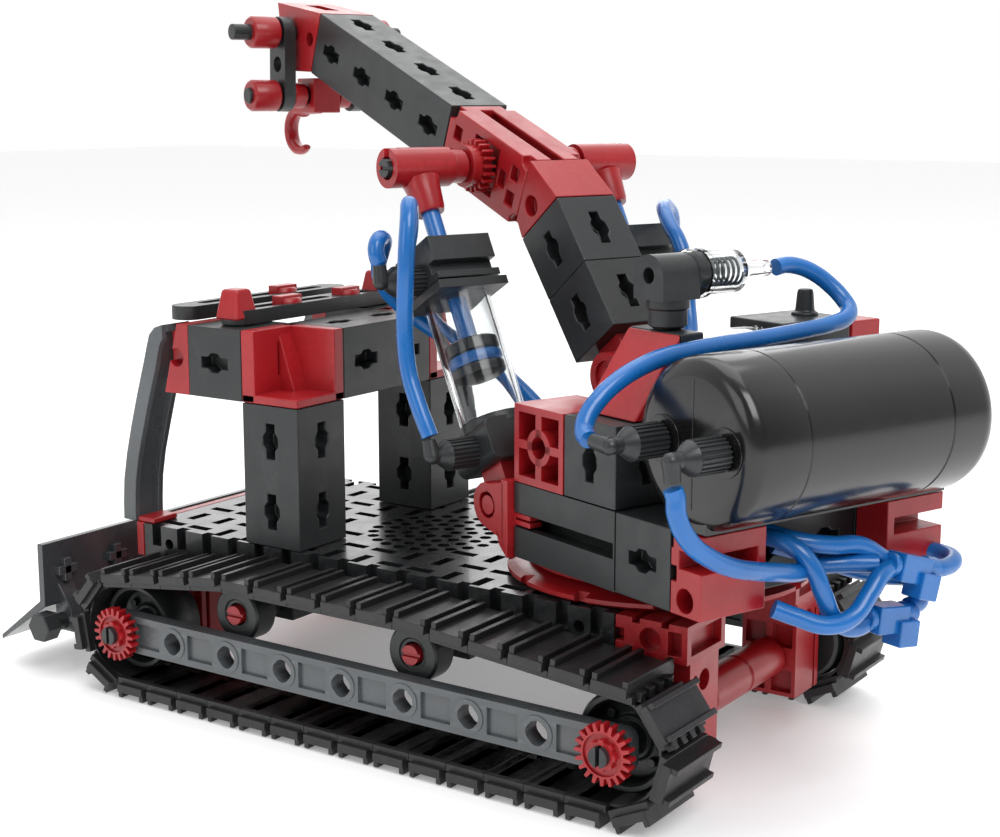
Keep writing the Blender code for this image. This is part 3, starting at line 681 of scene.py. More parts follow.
def wheels():
    for name, side in both_sides():
        for end, y in (("front", -AXLE_Y), ("rear", AXLE_Y)):
            profile = [(0, 2.3), (0, 8.2), (0.6, 8.9), (3.6, 9.0), (4.2, 9.4), (9.6, 9.4), (10.5, 8.9),
                       (10.5, 8.0), (9.6, 7.6), (6.9, 7.4), (6.5, 6.9), (6.5, 4.4), (6.9, 4.0), (7.3, 3.9),
                       (7.3, 3.2), (11.0, 2.9), (11.0, 2.3)]
            start = (side * 31.0, y, AXLE_Z)
            hub = lathe([*profile, profile[0]], start, (side, 0, 0), 48)
            turns = [math.pi / 3 * k + 0.3 for k in range(6)]
            middles = [(y + 5.6 * math.cos(t), AXLE_Z + 5.6 * math.sin(t)) for t in turns]
            spokes = [across(side * 37.6, side * 38.6, middle, 0.9, 12) for middle in middles]
            put("wheel_%s_%s" % (end, name), [hub, *spokes], BLACK, CHASSIS, "wheel_%s_%s" % (end, name),
                ["wheel_%s_%s" % (end, name)], 0.15)
        for end, (y, z) in ROLLERS.items():
            profile = [(0, 2.3), (0, 5.3), (0.5, 5.8), (5.4, 5.8), (5.9, 5.3), (5.9, 3.2), (5.5, 3.0),
                       (5.5, 2.3)]
            body = lathe([*profile, profile[0]], (side * 35.5, y, z), (side, 0, 0), 40)
            put("roller_%s_%s" % (end, name), body, BLACK, CHASSIS, "roller_%s_%s" % (end, name),
                ["roller_%s_%s" % (end, name)], 0.15)


def belt_frames():
    """Position and outward angle along the taut belt at each shoe, and a finer list for the band."""
    circles = [((AXLE_Y, AXLE_Z), BELT_IN_R), (ROLLERS["rear"], ROLLER_R + 0.3),
               (ROLLERS["front"], ROLLER_R + 0.3), ((-AXLE_Y, AXLE_Z), BELT_IN_R)]
    runs = []
    for i, (here, r_here) in enumerate(circles):
        there, r_there = circles[(i + 1) % len(circles)]
        heading = math.atan2(there[1] - here[1], there[0] - here[0])
        runs.append(heading - math.acos((r_here - r_there) / math.dist(here, there)))
    spots = []
    for i, (middle, radius) in enumerate(circles):
        before, after = runs[i - 1], runs[i]
        while after < before:
            after += 2 * math.pi
        steps = max(2, round((after - before) / 0.08))
        for k in range(steps + 1):
            angle = before + (after - before) * k / steps
            spots.append((middle[0] + radius * math.cos(angle), middle[1] + radius * math.sin(angle), angle))
    spots.append(spots[0])
    lengths = [0.0]
    for a, b in zip(spots, spots[1:]):
        lengths.append(lengths[-1] + math.dist(a[:2], b[:2]))
    total = lengths[-1]

    def at(distance):
        distance %= total
        k = max(i for i, d in enumerate(lengths[:-1]) if d <= distance + 1e-9)
        part = (distance - lengths[k]) / max(1e-9, lengths[k + 1] - lengths[k])
        a, b = spots[k], spots[k + 1]
        bend = (b[2] - a[2] + math.pi) % (2 * math.pi) - math.pi
        return (a[0] + (b[0] - a[0]) * part, a[1] + (b[1] - a[1]) * part, a[2] + bend * part)

    return at, total


def track(name, side):
    """Shoes with two raised ribs each, joined by knuckles on an inner band."""
    at, total = belt_frames()
    pitch = total / LINKS
    x_low, x_high = TRACK_X
    shoes = []
    for i in range(LINKS):
        y, z, angle = at((i + 0.5) * pitch)
        shoe = [box((x_low, -3.6, 1.2), (x_high, 3.6, 3.0)),
                box((x_low + 0.3, -3.6, 2.8), (x_high - 0.3, -2.5, 4.2)),
                box((x_low + 0.3, 2.5, 2.8), (x_high - 0.3, 3.6, 4.2)),
                box((x_low + 1.2, -4.3, 0.0), (x_high - 1.0, 4.3, 1.5))]
        for x in (34.0, 37.2, 40.4, 43.6):
            shoe.append(box((x, 3.4, 0.3), (x + 1.6, 5.2, 2.0)))
        turn = Matrix.Translation((0, y, z)) @ Matrix.Rotation(angle - math.pi / 2, 4, "X")
        for part in shoe:
            part.data.transform(turn)
        shoes += shoe
    body = merge(shoes)
    if side < 0:
        body.data.transform(Matrix.Scale(-1, 4, (1, 0, 0)))
        body.data.flip_normals()
    put("track_" + name, body, TRACK, CHASSIS, "chassis", ["track_" + name], 0.16)
    steps = 150
    inner = [at(total * i / steps) for i in range(steps)]
    band = prism([(y + 0.5 * math.cos(t), z + 0.5 * math.sin(t)) for y, z, t in inner],
                 *span(side, 32.4, 45.6), [[(y, z) for y, z, _ in inner]])
    put("track_band_" + name, band, TRACK, CHASSIS, "chassis", bevel=0.0)


def blade_unit():
    outline = [(-85.0, 29.0), (-86.7, 29.0), (-86.7, 15.9), (-100.0, 5.9), (-100.0, 4.9), (-85.0, 14.9)]
    shapes = [prism(outline, -45.0, 45.0)]
    for _, side in both_sides():
        for low, high in ((23.2, 27.0), (37.0, 41.0)):
            lug = [(-85.5, 20.0), (-81.0, 14.0), (-80.8, 8.8), (-86.2, 8.8), (-86.2, 13.2)]
            shapes.append(prism(lug, *span(side, low, high)))
        for x in (24.0, 39.0):
            a, b = span(side, x - 1.0, x + 1.0)
            shapes.append(box((a, -85.2, 19.8), (b, -83.6, 25.0)))
            a, b = span(side, x - 2.6, x + 2.6)
            shapes.append(box((a, -85.2, 21.4), (b, -83.6, 23.4)))
    for x in (-30.0, 0.0, 30.0):
        shapes.append(prism([(-86.9, 16.4), (-99.0, 6.8), (-86.9, 14.6)], x - 0.6, x + 0.6))
    put("blade", shapes, STEELGREY, CHASSIS, "blade", ["blade"], 0.25)
    knob = prism(ring(BLADE_PIVOT, 3.4, 6), 44.0, 48.0)
    axle = across(-47.0, 44.5, BLADE_PIVOT, AXLE_R, 24)
    put("blade_axle", [knob, axle], BLACK, CHASSIS, "blade", bevel=0.3)


def cab():
    low_z, high_z = CAB_Z
    front, back = POST_Y
    for name, side in both_sides():
        a, b = span(side, 15.0, 30.0)
        low, high = (a, front, DECK_Z[1] + 0.1), (b, back, low_z - 0.1)
        faces = [(0, 1, 2), (0, -1, 2), (1, 1, 2), (1, -1, 2)]
        put("cab_post_" + name, cut(box(low, high), block_keys(low, high, faces)), BLACK, CHASSIS, "chassis",
            ["cab_post_" + name], 0.25)
        floor = box((a, front, low_z), (b, back, low_z + 1.8))
        wall = box((a, front, low_z), (b, front + 3.5, high_z))
        in_low, in_high = span(side, 15.0, 18.0)
        inner = box((in_low, front, low_z), (in_high, back, high_z))
        ridge_low, ridge_high = span(side, 17.5, 22.0)
        ridge_outline = [(front + 3.0, low_z), (front + 8.0, low_z), (front + 3.0, high_z)]
        ridge = prism(ridge_outline, ridge_low, ridge_high)
        slot_low, slot_high = span(side, 20.5, 22.3)
        slot = box((slot_low, front + 2.4, low_z + 5.0), (slot_high, front + 6.0, high_z - 3.0))
        put("cab_corner_" + name, [cut(wall, [slot]), floor, inner, ridge], RED, CHASSIS, "chassis",
            ["cab_corner_" + name], 0.3)
        low, high = (a, front - GRID, low_z), (b, front - 0.1, high_z)
        rail = cut(box(low, high), block_keys(low, high, [(0, side, 1), (2, 1, 1)]))
        put("cab_rail_" + name, rail, BLACK, CHASSIS, "chassis", ["cab_rail_" + name], 0.25)
        outline = [(-53.7, high_z), (-56.9, high_z), (-60.9, low_z), (-53.7, low_z)]
        nose = prism(outline, a + 0.1, b - 0.1)
        face_low, face_high = span(side, 26.0, 32.0)
        nose = cut(nose, [across(face_low, face_high, (-57.2, 71.0), 2.0, 24)])
        pin_low, pin_high = span(side, 23.0, 27.0)
        stud = box((pin_low, -61.0, 68.0), (pin_high, -58.0, 76.0))
        put("cab_nose_" + name, [nose, stud], RED, CHASSIS, "chassis", bevel=0.3)
        outer = [(-61.2, 77.7), (-63.6, 76.9), (-65.2, 75.3), (-66.1, 72.6), (-67.1, 69.3), (-69.5, 62.0),
                 (-71.7, 54.7), (-73.4, 48.4), (-74.6, 42.3), (-75.0, 37.4), (-75.1, 33.3)]
        inside = [(-71.3, 33.3), (-71.2, 37.4), (-70.8, 42.3), (-69.7, 48.0), (-68.0, 54.0), (-65.8, 61.4),
                  (-63.6, 68.0), (-62.9, 70.6), (-62.2, 73.0), (-61.6, 74.0), (-61.2, 74.4)]
        web = outer + [((o[0] + i[0]) / 2 + 0.3, (o[1] + i[1]) / 2) for o, i in zip(outer[::-1], inside)]
        shapes = [prism(outer + inside, *span(side, *edges)) for edges in ((21.5, 23.0), (28.5, 30.0))]
        shapes.append(prism(web, *span(side, 22.8, 28.7)))
        put("pillar_" + name, shapes, GREY, CHASSIS, "chassis", ["pillar_" + name], 0.25)
    low, high = (-14.9, front, low_z), (14.9, back, high_z)
    keys = block_keys(low, high, [(1, 1, 0), (1, -1, 0), (2, 1, 0), (2, -1, 0)])
    put("cab_cross_beam", cut(box(low, high), keys), BLACK, CHASSIS, "chassis", ["cab_cross_beam"], 0.25)
    for name, y in (("rear", -45.0), ("front", -59.5)):
        z = high_z + 0.3
        slots = [rounded(x - half, x + half, y - 1.5, y + 1.5, 1.4)
                 for x, half in ((-14.5, 5.5), (0.0, 5.5), (14.5, 5.5))]
        bar = plate(rounded(-27.0, 27.0, y - 3.5, y + 3.5, 3.4, 8), z, z + 3.0, slots)
        put("roof_bar_" + name, bar, BLACK, CHASSIS, "chassis", ["roof_bar_" + name], 0.3)
        rivets = []
        for x in ((-7.0,) if name == "front" else (-12.0, 8.0)):
            rivets.append(lathe([(0, 3.3), (1.0, 3.2), (1.5, 2.7)], (x, y, z + 2.6), (0, 0, 1), 28))
            rivets.append(box((x - 3.4, y - 1.4, z + 2.4), (x + 3.4, y + 1.4, z + 4.6)))
        put("roof_rivets_" + name, rivets, RED, CHASSIS, "chassis", bevel=0.2)
        if name == "rear":
            for tag, side in both_sides():
                x = side * 24.0
                base = level_rectangle(x, y, z + 1, 3.4, 3.3)
                top = level_rectangle(x, y, z + 7.4, 2.2, 2.3)
                put("roof_clip_" + tag, loft([base, top]), RED, CHASSIS, "chassis", bevel=0.7)


deck()
front_bar()
axle_hangers()
for side_name, side_sign in both_sides():
    strut(side_name, side_sign)
    track(side_name, side_sign)
axles()
wheels()
blade_unit()
cab()

# ------------------------------------------------------------------ slewing body


def turntable():
    profile = [(0, 29.0), (0.6, 30.0), (1.4, 30.0), (1.8, 28.6), (2.3, 27.2), (2.3, 0.02)]
    disc = lathe([(0, 0.02), *profile], (0, SLEW_Y, DECK_Z[1] + 0.5), (0, 0, 1), 80)
    turns = [math.pi / 6 * k for k in range(12)]
    spots = [(29.4 * math.cos(t), 29.4 * math.sin(t)) for t in turns]
    notches = [box((x - 1.2, SLEW_Y + y - 1.2, 33.0), (x + 1.2, SLEW_Y + y + 1.2, 36.4)) for x, y in spots]
    put("turntable_base", cut(disc, notches), RED, CHASSIS, "chassis", ["turntable_base"], 0.2)
    profile = [(0, 0.02), (0, 25.0), (0.5, 26.0), (1.4, 26.0), (1.8, 25.2), (2.7, 25.0), (2.7, 0.02)]
    put("turntable_top", lathe(profile, (0, 0, 36.3), (0, 0, 1), 80), RED, UPPER, "slewing_body",
        ["turntable_top"], 0.2)


def slew_blocks():
    """Black 30 and 15 mm blocks on both sides, the cross block and the red blocks under the tank."""
    first = True
    for name, side in both_sides():
        a, b = span(side, 15.1, 30.0)
        low, high = (a, -7.5, 39.2), (b, 22.4, 53.8)
        face_low, face_high = span(side, 27.4, 31.0)
        deep_low, deep_high = span(side, 24.6, 28.0)
        long_slot = [box((face_low, -6.0, 45.1), (face_high, 22.0, 48.0)),
                     box((deep_low, -6.0, 44.3), (deep_high, 22.0, 48.8)),
                     box((face_low - 4 * (side > 0), -8.5, 45.1), (face_high + 4 * (side < 0), -5.0, 48.0))]
        put("slew_block_long_" + name, carve(box(low, high), long_slot), BLACK, UPPER, "slewing_body",
            ["slew_beams"] if first else [], 0.25)
        first = False
        a2, b2 = span(side, 26.8, 29.7)
        clip = [box((a2, -8.6, 45.4), (b2, -3.0, 46.4)), box((a2, -8.6, 46.8), (b2, -3.0, 47.8)),
                box((a2, -9.2, 44.6), (b2, -7.7, 48.6))]
        put("slew_clip_" + name, clip, RED, UPPER, "slewing_body", bevel=0.15)
        low, high = (a, 22.6, 39.2), (b, 37.2, 53.8)
        keys = block_keys(low, high, [(0, side, 1), (1, 1, 0)])
        put("slew_block_rear_" + name, cut(box(low, high), keys), BLACK, UPPER, "slewing_body", bevel=0.25)
        low, high = (a, 7.7, 54.0), (b, 22.4, 69.0)
        keys = block_keys(low, high, [(0, side, 2), (1, 1, 2)])
        put("slew_block_top_" + name, cut(box(low, high), keys), BLACK, UPPER, "slewing_body", bevel=0.25)
        low, high = (a, 37.4, 39.2), (b, 45.0, 53.8)
        window_low, window_high = span(side, 17.0, 30.6)
        cuts = [box((window_low, 39.4, 47.4), (window_high, 45.6, 50.4)),
                box((window_low, 36.0, 45.0), (window_high, 38.8, 47.6)),
                across(window_low, window_high, (41.0, 42.0), 2.1, 24),
                box((window_low, 36.0, 50.8), (window_high, 37.9, 53.0))]
        put("tank_block_" + name, carve(box(low, high), cuts), RED, UPPER, "slewing_body",
            ["tank_block_" + name], 0.3)
    low, high = (-14.9, 22.8, 39.4), (14.9, 37.1, 53.6)
    keys = block_keys(low, high, [(1, 1, 0), (2, 1, 0)])
    put("slew_cross_beam", cut(box(low, high), keys), BLACK, UPPER, "slewing_body", bevel=0.25)


def pocket_block(side):
    """Red block with four square pockets and a ringed hole on its outer face."""
    a, b = span(side, 15.1, 30.0)
    body = box((a, -7.5, 54.0), (b, 7.4, 69.0))
    face_low, face_high = span(side, 23.0, 31.0)
    cuts = []
    for v_low, v_high in ((-6.1, -0.9), (0.9, 6.1)):
        for z_low, z_high in ((55.4, 60.7), (62.3, 67.6)):
            cuts.append(box((face_low, v_low, z_low), (face_high, v_high, z_high)))
    body = cut(body, cuts)
    a2, b2 = span(side, 24.0, 30.0)
    collar = prism(ring((0.0, 61.5), 3.5, 28), a2, b2, [ring((0.0, 61.5), 2.1, 28)])
    body = cut(body, [across(face_low, face_high, (0.0, 61.5), 2.1, 28)])
    return [body, collar]


def boom_foot():
    shapes = [*pocket_block(1), *pocket_block(-1), box((-15.2, -7.4, 54.1), (15.2, 7.3, 60.0))]
    ear = [(7.0, 59.5), (-7.3, 59.5), (-12.0, 66.0)]
    ear += arc(FOOT, 4.9, 200, -17, 13)
    ear.append((7.0, 63.0))
    for _, side in both_sides():
        shapes.append(prism(ear, *span(side, 4.5, 7.4), [ring(FOOT, 2.2, 24)]))
        shapes.append(prism(ring(FOOT, 4.9, 32), *span(side, 4.3, 8.2), [ring(FOOT, 3.3, 32)]))
    wedge = [(-7.4, 60.0), (7.3, 60.0), (7.3, 69.5), (2.0, 69.5)]
    shapes.append(prism(wedge, 8.6, 14.9))
    shapes.append(box((9.5, -3.0, 69.2), (14.5, 3.5, 71.2)))
    put("boom_foot", shapes, RED, UPPER, "slewing_body", ["boom_foot"], 0.3)


def ram_bracket(name, side):
    a, b = span(side, 16.5, 31.5)
    z = RAM_FOOT[1]
    shapes = [box((a, -9.8, 41.0), (b, -7.8, 54.0))]
    ear = [(-9.0, z - 6.0), (-9.0, z + 5.4)]
    ear += arc(RAM_FOOT, 4.5, 80, 20, 10)
    for edges in ((16.5, 19.3), (28.7, 31.5)):
        shapes.append(prism(ear, *span(side, *edges), [ring(RAM_FOOT, 2.6, 24)]))
    shield = [(-8.0, 38.9), (-10.4, 41.0), (-11.6, 44.0), (-11.0, 44.2), (-9.6, 42.0), (-8.0, 41.0)]
    shapes.append(prism(shield, a, b))
    put("ram_bracket_" + name, shapes, RED, UPPER, "slewing_body", ["ram_bracket_" + name], 0.3)


def fitting(spot, base_u, top_u, nozzle, side=1.0):
    """Knurled screw fitting pointing out along U, with an elbow whose nozzle runs to an end point."""
    knurl = prism(gear_outline(spot, 3.2, 22, 0.45), *sorted((side * base_u, side * (base_u + 6.4))))
    cone = lathe([(0, 3.0), (1.0, 2.4), (2.2, 1.5)], (side * (base_u + 6.4), *spot), (side, 0, 0), 24)
    neck = across(side * (base_u + 8), side * top_u, spot, 1.45, 20)
    corner = Vector((side * top_u, *spot))
    ball = lathe([(-1.5, 0.1), (-1.2, 1.0), (-0.6, 1.45), (0, 1.6), (0.6, 1.45), (1.2, 1.0), (1.5, 0.1)],
                 corner, (0, 0, 1), 20)
    end = Vector(nozzle)
    pipe = rod(corner, end, 1.6, 20, 1.35)
    return [knurl, cone, neck, ball, pipe]


def air_tank():
    """Glossy tank with rolled edges, a seam ring and a seam line, on its foot, with two fittings."""
    r = TANK_R
    profile = [(0, 0.05), (0, r - 3.4), (0.3, r - 2.4), (1.0, r - 1.2), (2.0, r - 0.4), (3.2, r - 0.05)]
    profile += [(4.0, r), (12.0, r), (12.15, r - 0.22), (12.4, r - 0.22), (12.55, r), (47.0, r)]
    profile += [(47.1, r - 0.18), (47.3, r - 0.18), (47.4, r), (57.0, r), (58.4, r - 0.3), (59.4, r - 1.2),
                (59.9, r - 2.6), (60.0, r - 3.4), (60.0, 0.05)]
    body = lathe(profile, (-TANK_U, *TANK_VZ), (1, 0, 0), 96)
    v, z = TANK_VZ
    lines = [box((29.7, v - 0.18, z - 11.0), (30.12, v + 0.18, z + 11.0)) for _ in range(1)]
    turned = [across(29.9, 30.3, (v + dv, z), 4.2, 32) for dv in (-7.2, 7.8)]
    foot = box((-29.5, 37.6, 54.1), (29.5, 45.6, 59.5))
    put("air_tank", [body, foot, *lines, *turned], GLOSS, UPPER, "slewing_body", ["air_tank"], 0.2)
    shapes = fitting((35.0, 69.0), 31.0, 41.5, (41.5, 30.6, 69.2))
    shapes += fitting((50.0, 69.0), 31.0, 41.4, (41.3, 50.3, 65.6))
    put("tank_fittings", shapes, BLACK, UPPER, "slewing_body", bevel=0.1)


def pump():
    v, z = PUMP_VZ
    low, high = (9.6, 7.8, 69.2), (15.0, 22.2, 84.0)
    blocks = [box(low, high), box((-28.0, 7.8, 69.2), (-10.0, 22.2, 84.0)), lathe(
        [(0, 2.6), (1.0, 2.6), (1.2, 1.9), (4.6, 1.6), (5.5, 1.4)], (-23.0, v, 83.6), (0, 0, 1), 24)]
    put("pump_blocks", blocks, BLACK, UPPER, "slewing_body", ["pump_barrel"], 0.35)
    tube = [(0, 6.5), (19.6, 6.5), (19.6, 5.3), (0, 5.3), (0, 6.5)]
    put("pump_tube", lathe(tube, (-10.0, v, z), (1, 0, 0), 48), CLEAR, UPPER, "slewing_body", bevel=0.0)
    wedge = loft([[(15.2, yy, 69.2), (25.7, yy, 69.2), (15.2, yy, 84.0)] for yy in (7.8, 22.2)])
    put("pump_wedge", wedge, RED, UPPER, "slewing_body", bevel=0.4)
    stem = [across(-34.0, 0.0, PUMP_VZ, AXLE_R, 24),
            box((-40.0, v - 4.0, z - 1.0), (-32.0, v + 4.0, z + 6.0))]
    put("pump_rod", stem, RED, UPPER, "pump_piston", ["pump_rod"], 0.3)
    discs = [lathe([(0, 4.6), (0.3, 5.0), (2.0, 5.0), (2.0, 1.0)], (-3.8, v, z), (1, 0, 0), 40),
             lathe([(0, 1.0), (0, 5.0), (1.7, 5.0), (2.0, 4.6)], (1.2, v, z), (1, 0, 0), 40)]
    put("pump_piston_discs", discs, BLACK, UPPER, "pump_piston", bevel=0.1)
    seal = lathe([(0, 1.0), (0, 4.8), (1.5, 5.1), (3.0, 4.8), (3.0, 1.0)], (-1.8, v, z), (1, 0, 0), 40)
    put("pump_piston_seal", seal, BLUE, UPPER, "pump_piston", bevel=0.1)


def helix(start, axis_length, radius, turns, wire):
    """Coil spring along -U."""
    steps = turns * 20
    rings = []
    for i in range(steps + 1):
        t = 2 * math.pi * i / 20
        middle = Vector((start[0] - axis_length * i / steps, start[1] + radius * math.cos(t),
                         start[2] + radius * math.sin(t)))
        out = Vector((0, math.cos(t), math.sin(t)))
        along_u = Vector((1, 0, 0))
        rings.append([middle + wire * (math.cos(a) * out + math.sin(a) * along_u)
                      for a in (math.pi / 3 * k for k in range(6))])
    return loft(rings)


def valve():
    v, z = 15.3, VALVE_Z
    outline = [(v - 4.1, z - 4.1), (v + 4.1, z - 4.1)]
    outline += arc((v, z), 4.1, 0, 15, 13)
    head = cut(prism(outline, 8.2, 17.0), [across(14.0, 18.0, (v, z + 0.3), 1.5, 24)])
    stem = lathe([(0, 2.4), (0.8, 3.6), (3.6, 3.6), (4.0, 4.0), (6.4, 4.0)], (12.3, v, 84.0), (0, 0, 1), 32)
    cap_ring = across(5.4, 8.3, (v, z), 4.0, 32)
    put("valve", [head, stem, cap_ring], BLACK, UPPER, "slewing_body", ["valve"], 0.35)
    shell = [(0, 3.6), (0, 4.6), (1.3, 4.6), (1.5, 4.2), (2.2, 4.2), (2.4, 4.6), (3.4, 4.6), (3.6, 4.1),
             (11.6, 4.0), (12.6, 2.8), (14.6, 1.9), (20.0, 1.6), (20.0, 0.8), (14.6, 1.1), (12.0, 2.4),
             (11.0, 3.2), (3.4, 3.3), (0, 3.6)]
    put("valve_cap", lathe(shell, (8.0, v, z), (-1, 0, 0), 48), CLEAR, UPPER, "slewing_body", bevel=0.0)
    coil = helix((3.8, v, z), 7.4, 2.5, 6, 0.28)
    put("valve_spring", coil, GREY, UPPER, "slewing_body", bevel=0.0)


turntable()
slew_blocks()
boom_foot()
air_tank()
pump()
valve()
for side_name, side_sign in both_sides():
    ram_bracket(side_name, side_sign)

# ------------------------------------------------------------------ boom


def boom_block(name, start, length, pivot, pitch, body, cad, look=BLACK):
    """Square beam of 15 mm blocks along the boom, with keyholes on all four sides."""
    low = (-7.4, pivot[0] + start, pivot[1] - 7.4)
    high = (7.4, pivot[0] + start + length, pivot[1] + 7.4)
    keys = block_keys(low, high, [(0, 1, 1), (0, -1, 1), (2, 1, 1), (2, -1, 1)])
    solid = cut(box(low, high), keys)
    tilted(solid, pivot, pitch)
    put(name, solid, look, UPPER, body, cad, 0.25)


def lower_boom():
    boom_block("lower_boom_block_1", 7.5, 14.8, FOOT, BOOM_PITCH, "boom", ["lower_boom"], GRAINED)
    boom_block("lower_boom_block_2", 22.4, 14.9, FOOT, BOOM_PITCH, "boom", [])
    v, z = FOOT
    neck = box((-4.0, v, z - 3.6), (4.0, v + 8.5, z + 3.6))
    tilted(neck, FOOT, BOOM_PITCH)
    eye = prism(ring(FOOT, 4.6, 32), -4.0, 4.0, [ring(FOOT, 2.2, 24)])
    put("boom_hinge_eye", [neck, eye], RED, UPPER, "boom", bevel=0.3)
    put("boom_hinge_pin", across(-7.9, 7.9, FOOT, 2.0, 28), RED, UPPER, "boom", bevel=0.2)


def elbow():
    """Red wedge and long red block with pockets, round holes and a groove on top."""
    wedge_points = [along(FOOT, BOOM_PITCH, 37.5, -7.4), along(FOOT, BOOM_PITCH, 37.5, 7.4),
                    along(ELBOW, FORE_PITCH, -15.0, 7.4), along(ELBOW, FORE_PITCH, -15.0, -5.6)]
    wedge = prism(wedge_points, -7.4, 7.4)
    hole = along(ELBOW, FORE_PITCH, -18.6, -1.0)
    wedge = cut(wedge, [across(5.0, 9.0, hole, 2.1, 24), across(-9.0, -5.0, hole, 2.1, 24)])
    put("elbow_wedge", wedge, RED, UPPER, "boom", bevel=0.35)
    v, z = ELBOW
    body = box((-7.4, v - 14.8, z - 7.4), (7.4, v + 15.0, z + 7.4))
    groove = [box((-1.6, v - 16.0, z - 8.5), (1.6, v + 12.5, z - 5.6)),
              box((-3.0, v - 16.0, z - 6.6), (3.0, v + 12.5, z - 4.4))]
    body = carve(body, groove)
    cuts = []
    for face_low, face_high in ((5.4, 9.0), (-9.0, -5.4)):
        for dv, dz, half_v, half_z in ((-11.0, -2.7, 1.4, 1.5), (-11.0, 2.7, 1.4, 1.5), (-7.0, 0.0, 1.3, 1.7),
                                       (11.0, -2.7, 1.4, 1.5), (11.0, 2.7, 1.4, 1.5), (7.0, 0.0, 1.3, 1.7)):
            cuts.append(box((face_low, v + dv - half_v, z + dz - half_z),
                            (face_high, v + dv + half_v, z + dz + half_z)))
        cuts.append(box((face_low, v - 4.6, z - 5.2), (face_high, v + 4.6, z + 5.2)))
        for dv in (-14.4, 14.4):
            cuts.append(across(face_low, face_high, (v + dv, z - 7.0), 2.0, 20))
            cuts.append(across(face_low, face_high, (v + dv, z + 7.0), 2.0, 20))
    body = cut(body, cuts)
    tilted(body, ELBOW, FORE_PITCH)
    put("elbow_block", body, RED, UPPER, "boom", ["elbow_block"], 0.3)


def boom_axle():
    """Axle through the elbow with lock gears and spacer sleeves."""
    axle = across(-32.0, 32.0, ELBOW, AXLE_R, 28)
    cuts = [box((31.0, ELBOW[0] - 3, ELBOW[1] - 0.4), (33.0, ELBOW[0] + 3, ELBOW[1] + 0.4)),
            box((-33.0, ELBOW[0] - 3, ELBOW[1] - 0.4), (-31.0, ELBOW[0] + 3, ELBOW[1] + 0.4))]
    put("boom_axle", cut(axle, cuts), BLACK, UPPER, "boom", ["boom_axle"], 0.15)
    for name, side in both_sides():
        gear = prism(gear_outline(ELBOW, 5.7), *span(side, 7.9, 10.6))
        hub = across(*span(side, 10.4, 12.6), ELBOW, 4.4, 32)
        profile = [(0, 3.0), (0.4, 3.5), (3.4, 3.5), (3.8, 3.0)]
        sleeve = lathe(profile, (side * 12.8, *ELBOW), (side, 0, 0), 32)
        put("boom_lock_gear_" + name, [gear, hub, sleeve], RED, UPPER, "boom", bevel=0.12)


def fore_boom():
    boom_block("fore_boom", 15.3, 59.3, ELBOW, FORE_PITCH, "boom", ["fore_boom"])
    end = along(ELBOW, FORE_PITCH, 74.9)
    outline = [along(end, FORE_PITCH, 0.0, -7.2), along(end, FORE_PITCH, 0.0, 7.4), (-138.0, 148.3),
               (-135.2, 131.8)]
    body = prism(outline, -7.4, 7.4)
    cuts = [across(-9.0, 9.0, spot, radius, 24) for spot, radius in
            ((TIP, 2.3), ((-122.6, 139.0), 1.7), ((-132.4, 134.8), 1.4))]
    cuts.append(box((-2.0, -134.0, 146.0), (2.0, -124.0, 150.0)))
    put("boom_tip", cut(body, cuts), RED, UPPER, "boom", ["boom_tip"], 0.35)


def tip_and_hook():
    plates = []
    for _, side in both_sides():
        v, z = TIP
        lower_v, lower_z = LINK_LOW
        outline = arc(TIP, 3.9, -10, 20, 11) + arc(LINK_LOW, 3.9, 180, 18, 11)
        middle = ((v + lower_v) / 2, (z + lower_z) / 2)
        plates.append(prism(outline, *span(side, 8.6, 11.6), [ring(middle, 1.9, 20)]))
    put("tip_link_plates", plates, BLACK, UPPER, "links", ["tip_links"], 0.3)
    bars = [across(-23.0, 24.0, TIP, AXLE_R, 24), across(-20.0, 20.0, LINK_LOW, AXLE_R, 24)]
    put("tip_axles", bars, BLACK, UPPER, "links", bevel=0.3)
    sleeve = [(0, 3.3), (0.5, 3.8), (6.6, 3.8), (7.2, 3.3)]
    collar = [(0, 2.7), (0.3, 3.1), (3.6, 3.1), (4.0, 2.7)]
    sleeves = []
    for side in (1, -1):
        sleeves.append(lathe(sleeve, (side * 12.0, *TIP), (side, 0, 0), 32))
        sleeves.append(lathe(sleeve, (side * 12.0, *LINK_LOW), (side, 0, 0), 32))
        sleeves.append(lathe(collar, (side * 4.4, *LINK_LOW), (side, 0, 0), 32))
    put("tip_sleeves", sleeves, RED, UPPER, "links", bevel=0.15)
    v, z = LINK_LOW
    block = box((-3.7, v - 4.2, z - 4.2), (3.7, v + 4.2, z + 4.2))
    shank = [(v - 1.5, z - 4.4), (v - 5.0, z + 1.0), (HOOK[0] - 0.6, HOOK[1] + 6.2),
             (HOOK[0] + 2.8, HOOK[1] + 4.0)]
    shapes = [cut(block, [across(-5.0, 5.0, LINK_LOW, 2.2, 24)]), prism(shank, -2.0, 2.0)]
    rings = []
    steps = 22
    for i in range(steps + 1):
        angle = math.radians(62 + 246 * i / steps)
        thick = 1.9 if i < steps - 5 else 1.9 - 0.17 * (i - steps + 5)
        middle = Vector((0, HOOK[0] + 5.0 * math.cos(angle), HOOK[1] + 5.0 * math.sin(angle)))
        out = Vector((0, math.cos(angle), math.sin(angle)))
        rings.append([middle + thick * (math.cos(a) * out * 0.72 + math.sin(a) * Vector((1, 0, 0)))
                      for a in (math.pi / 8 * k for k in range(16))])
    shapes.append(loft(rings))
    put("hook", shapes, RED, UPPER, "hook", ["hook"], 0.3)


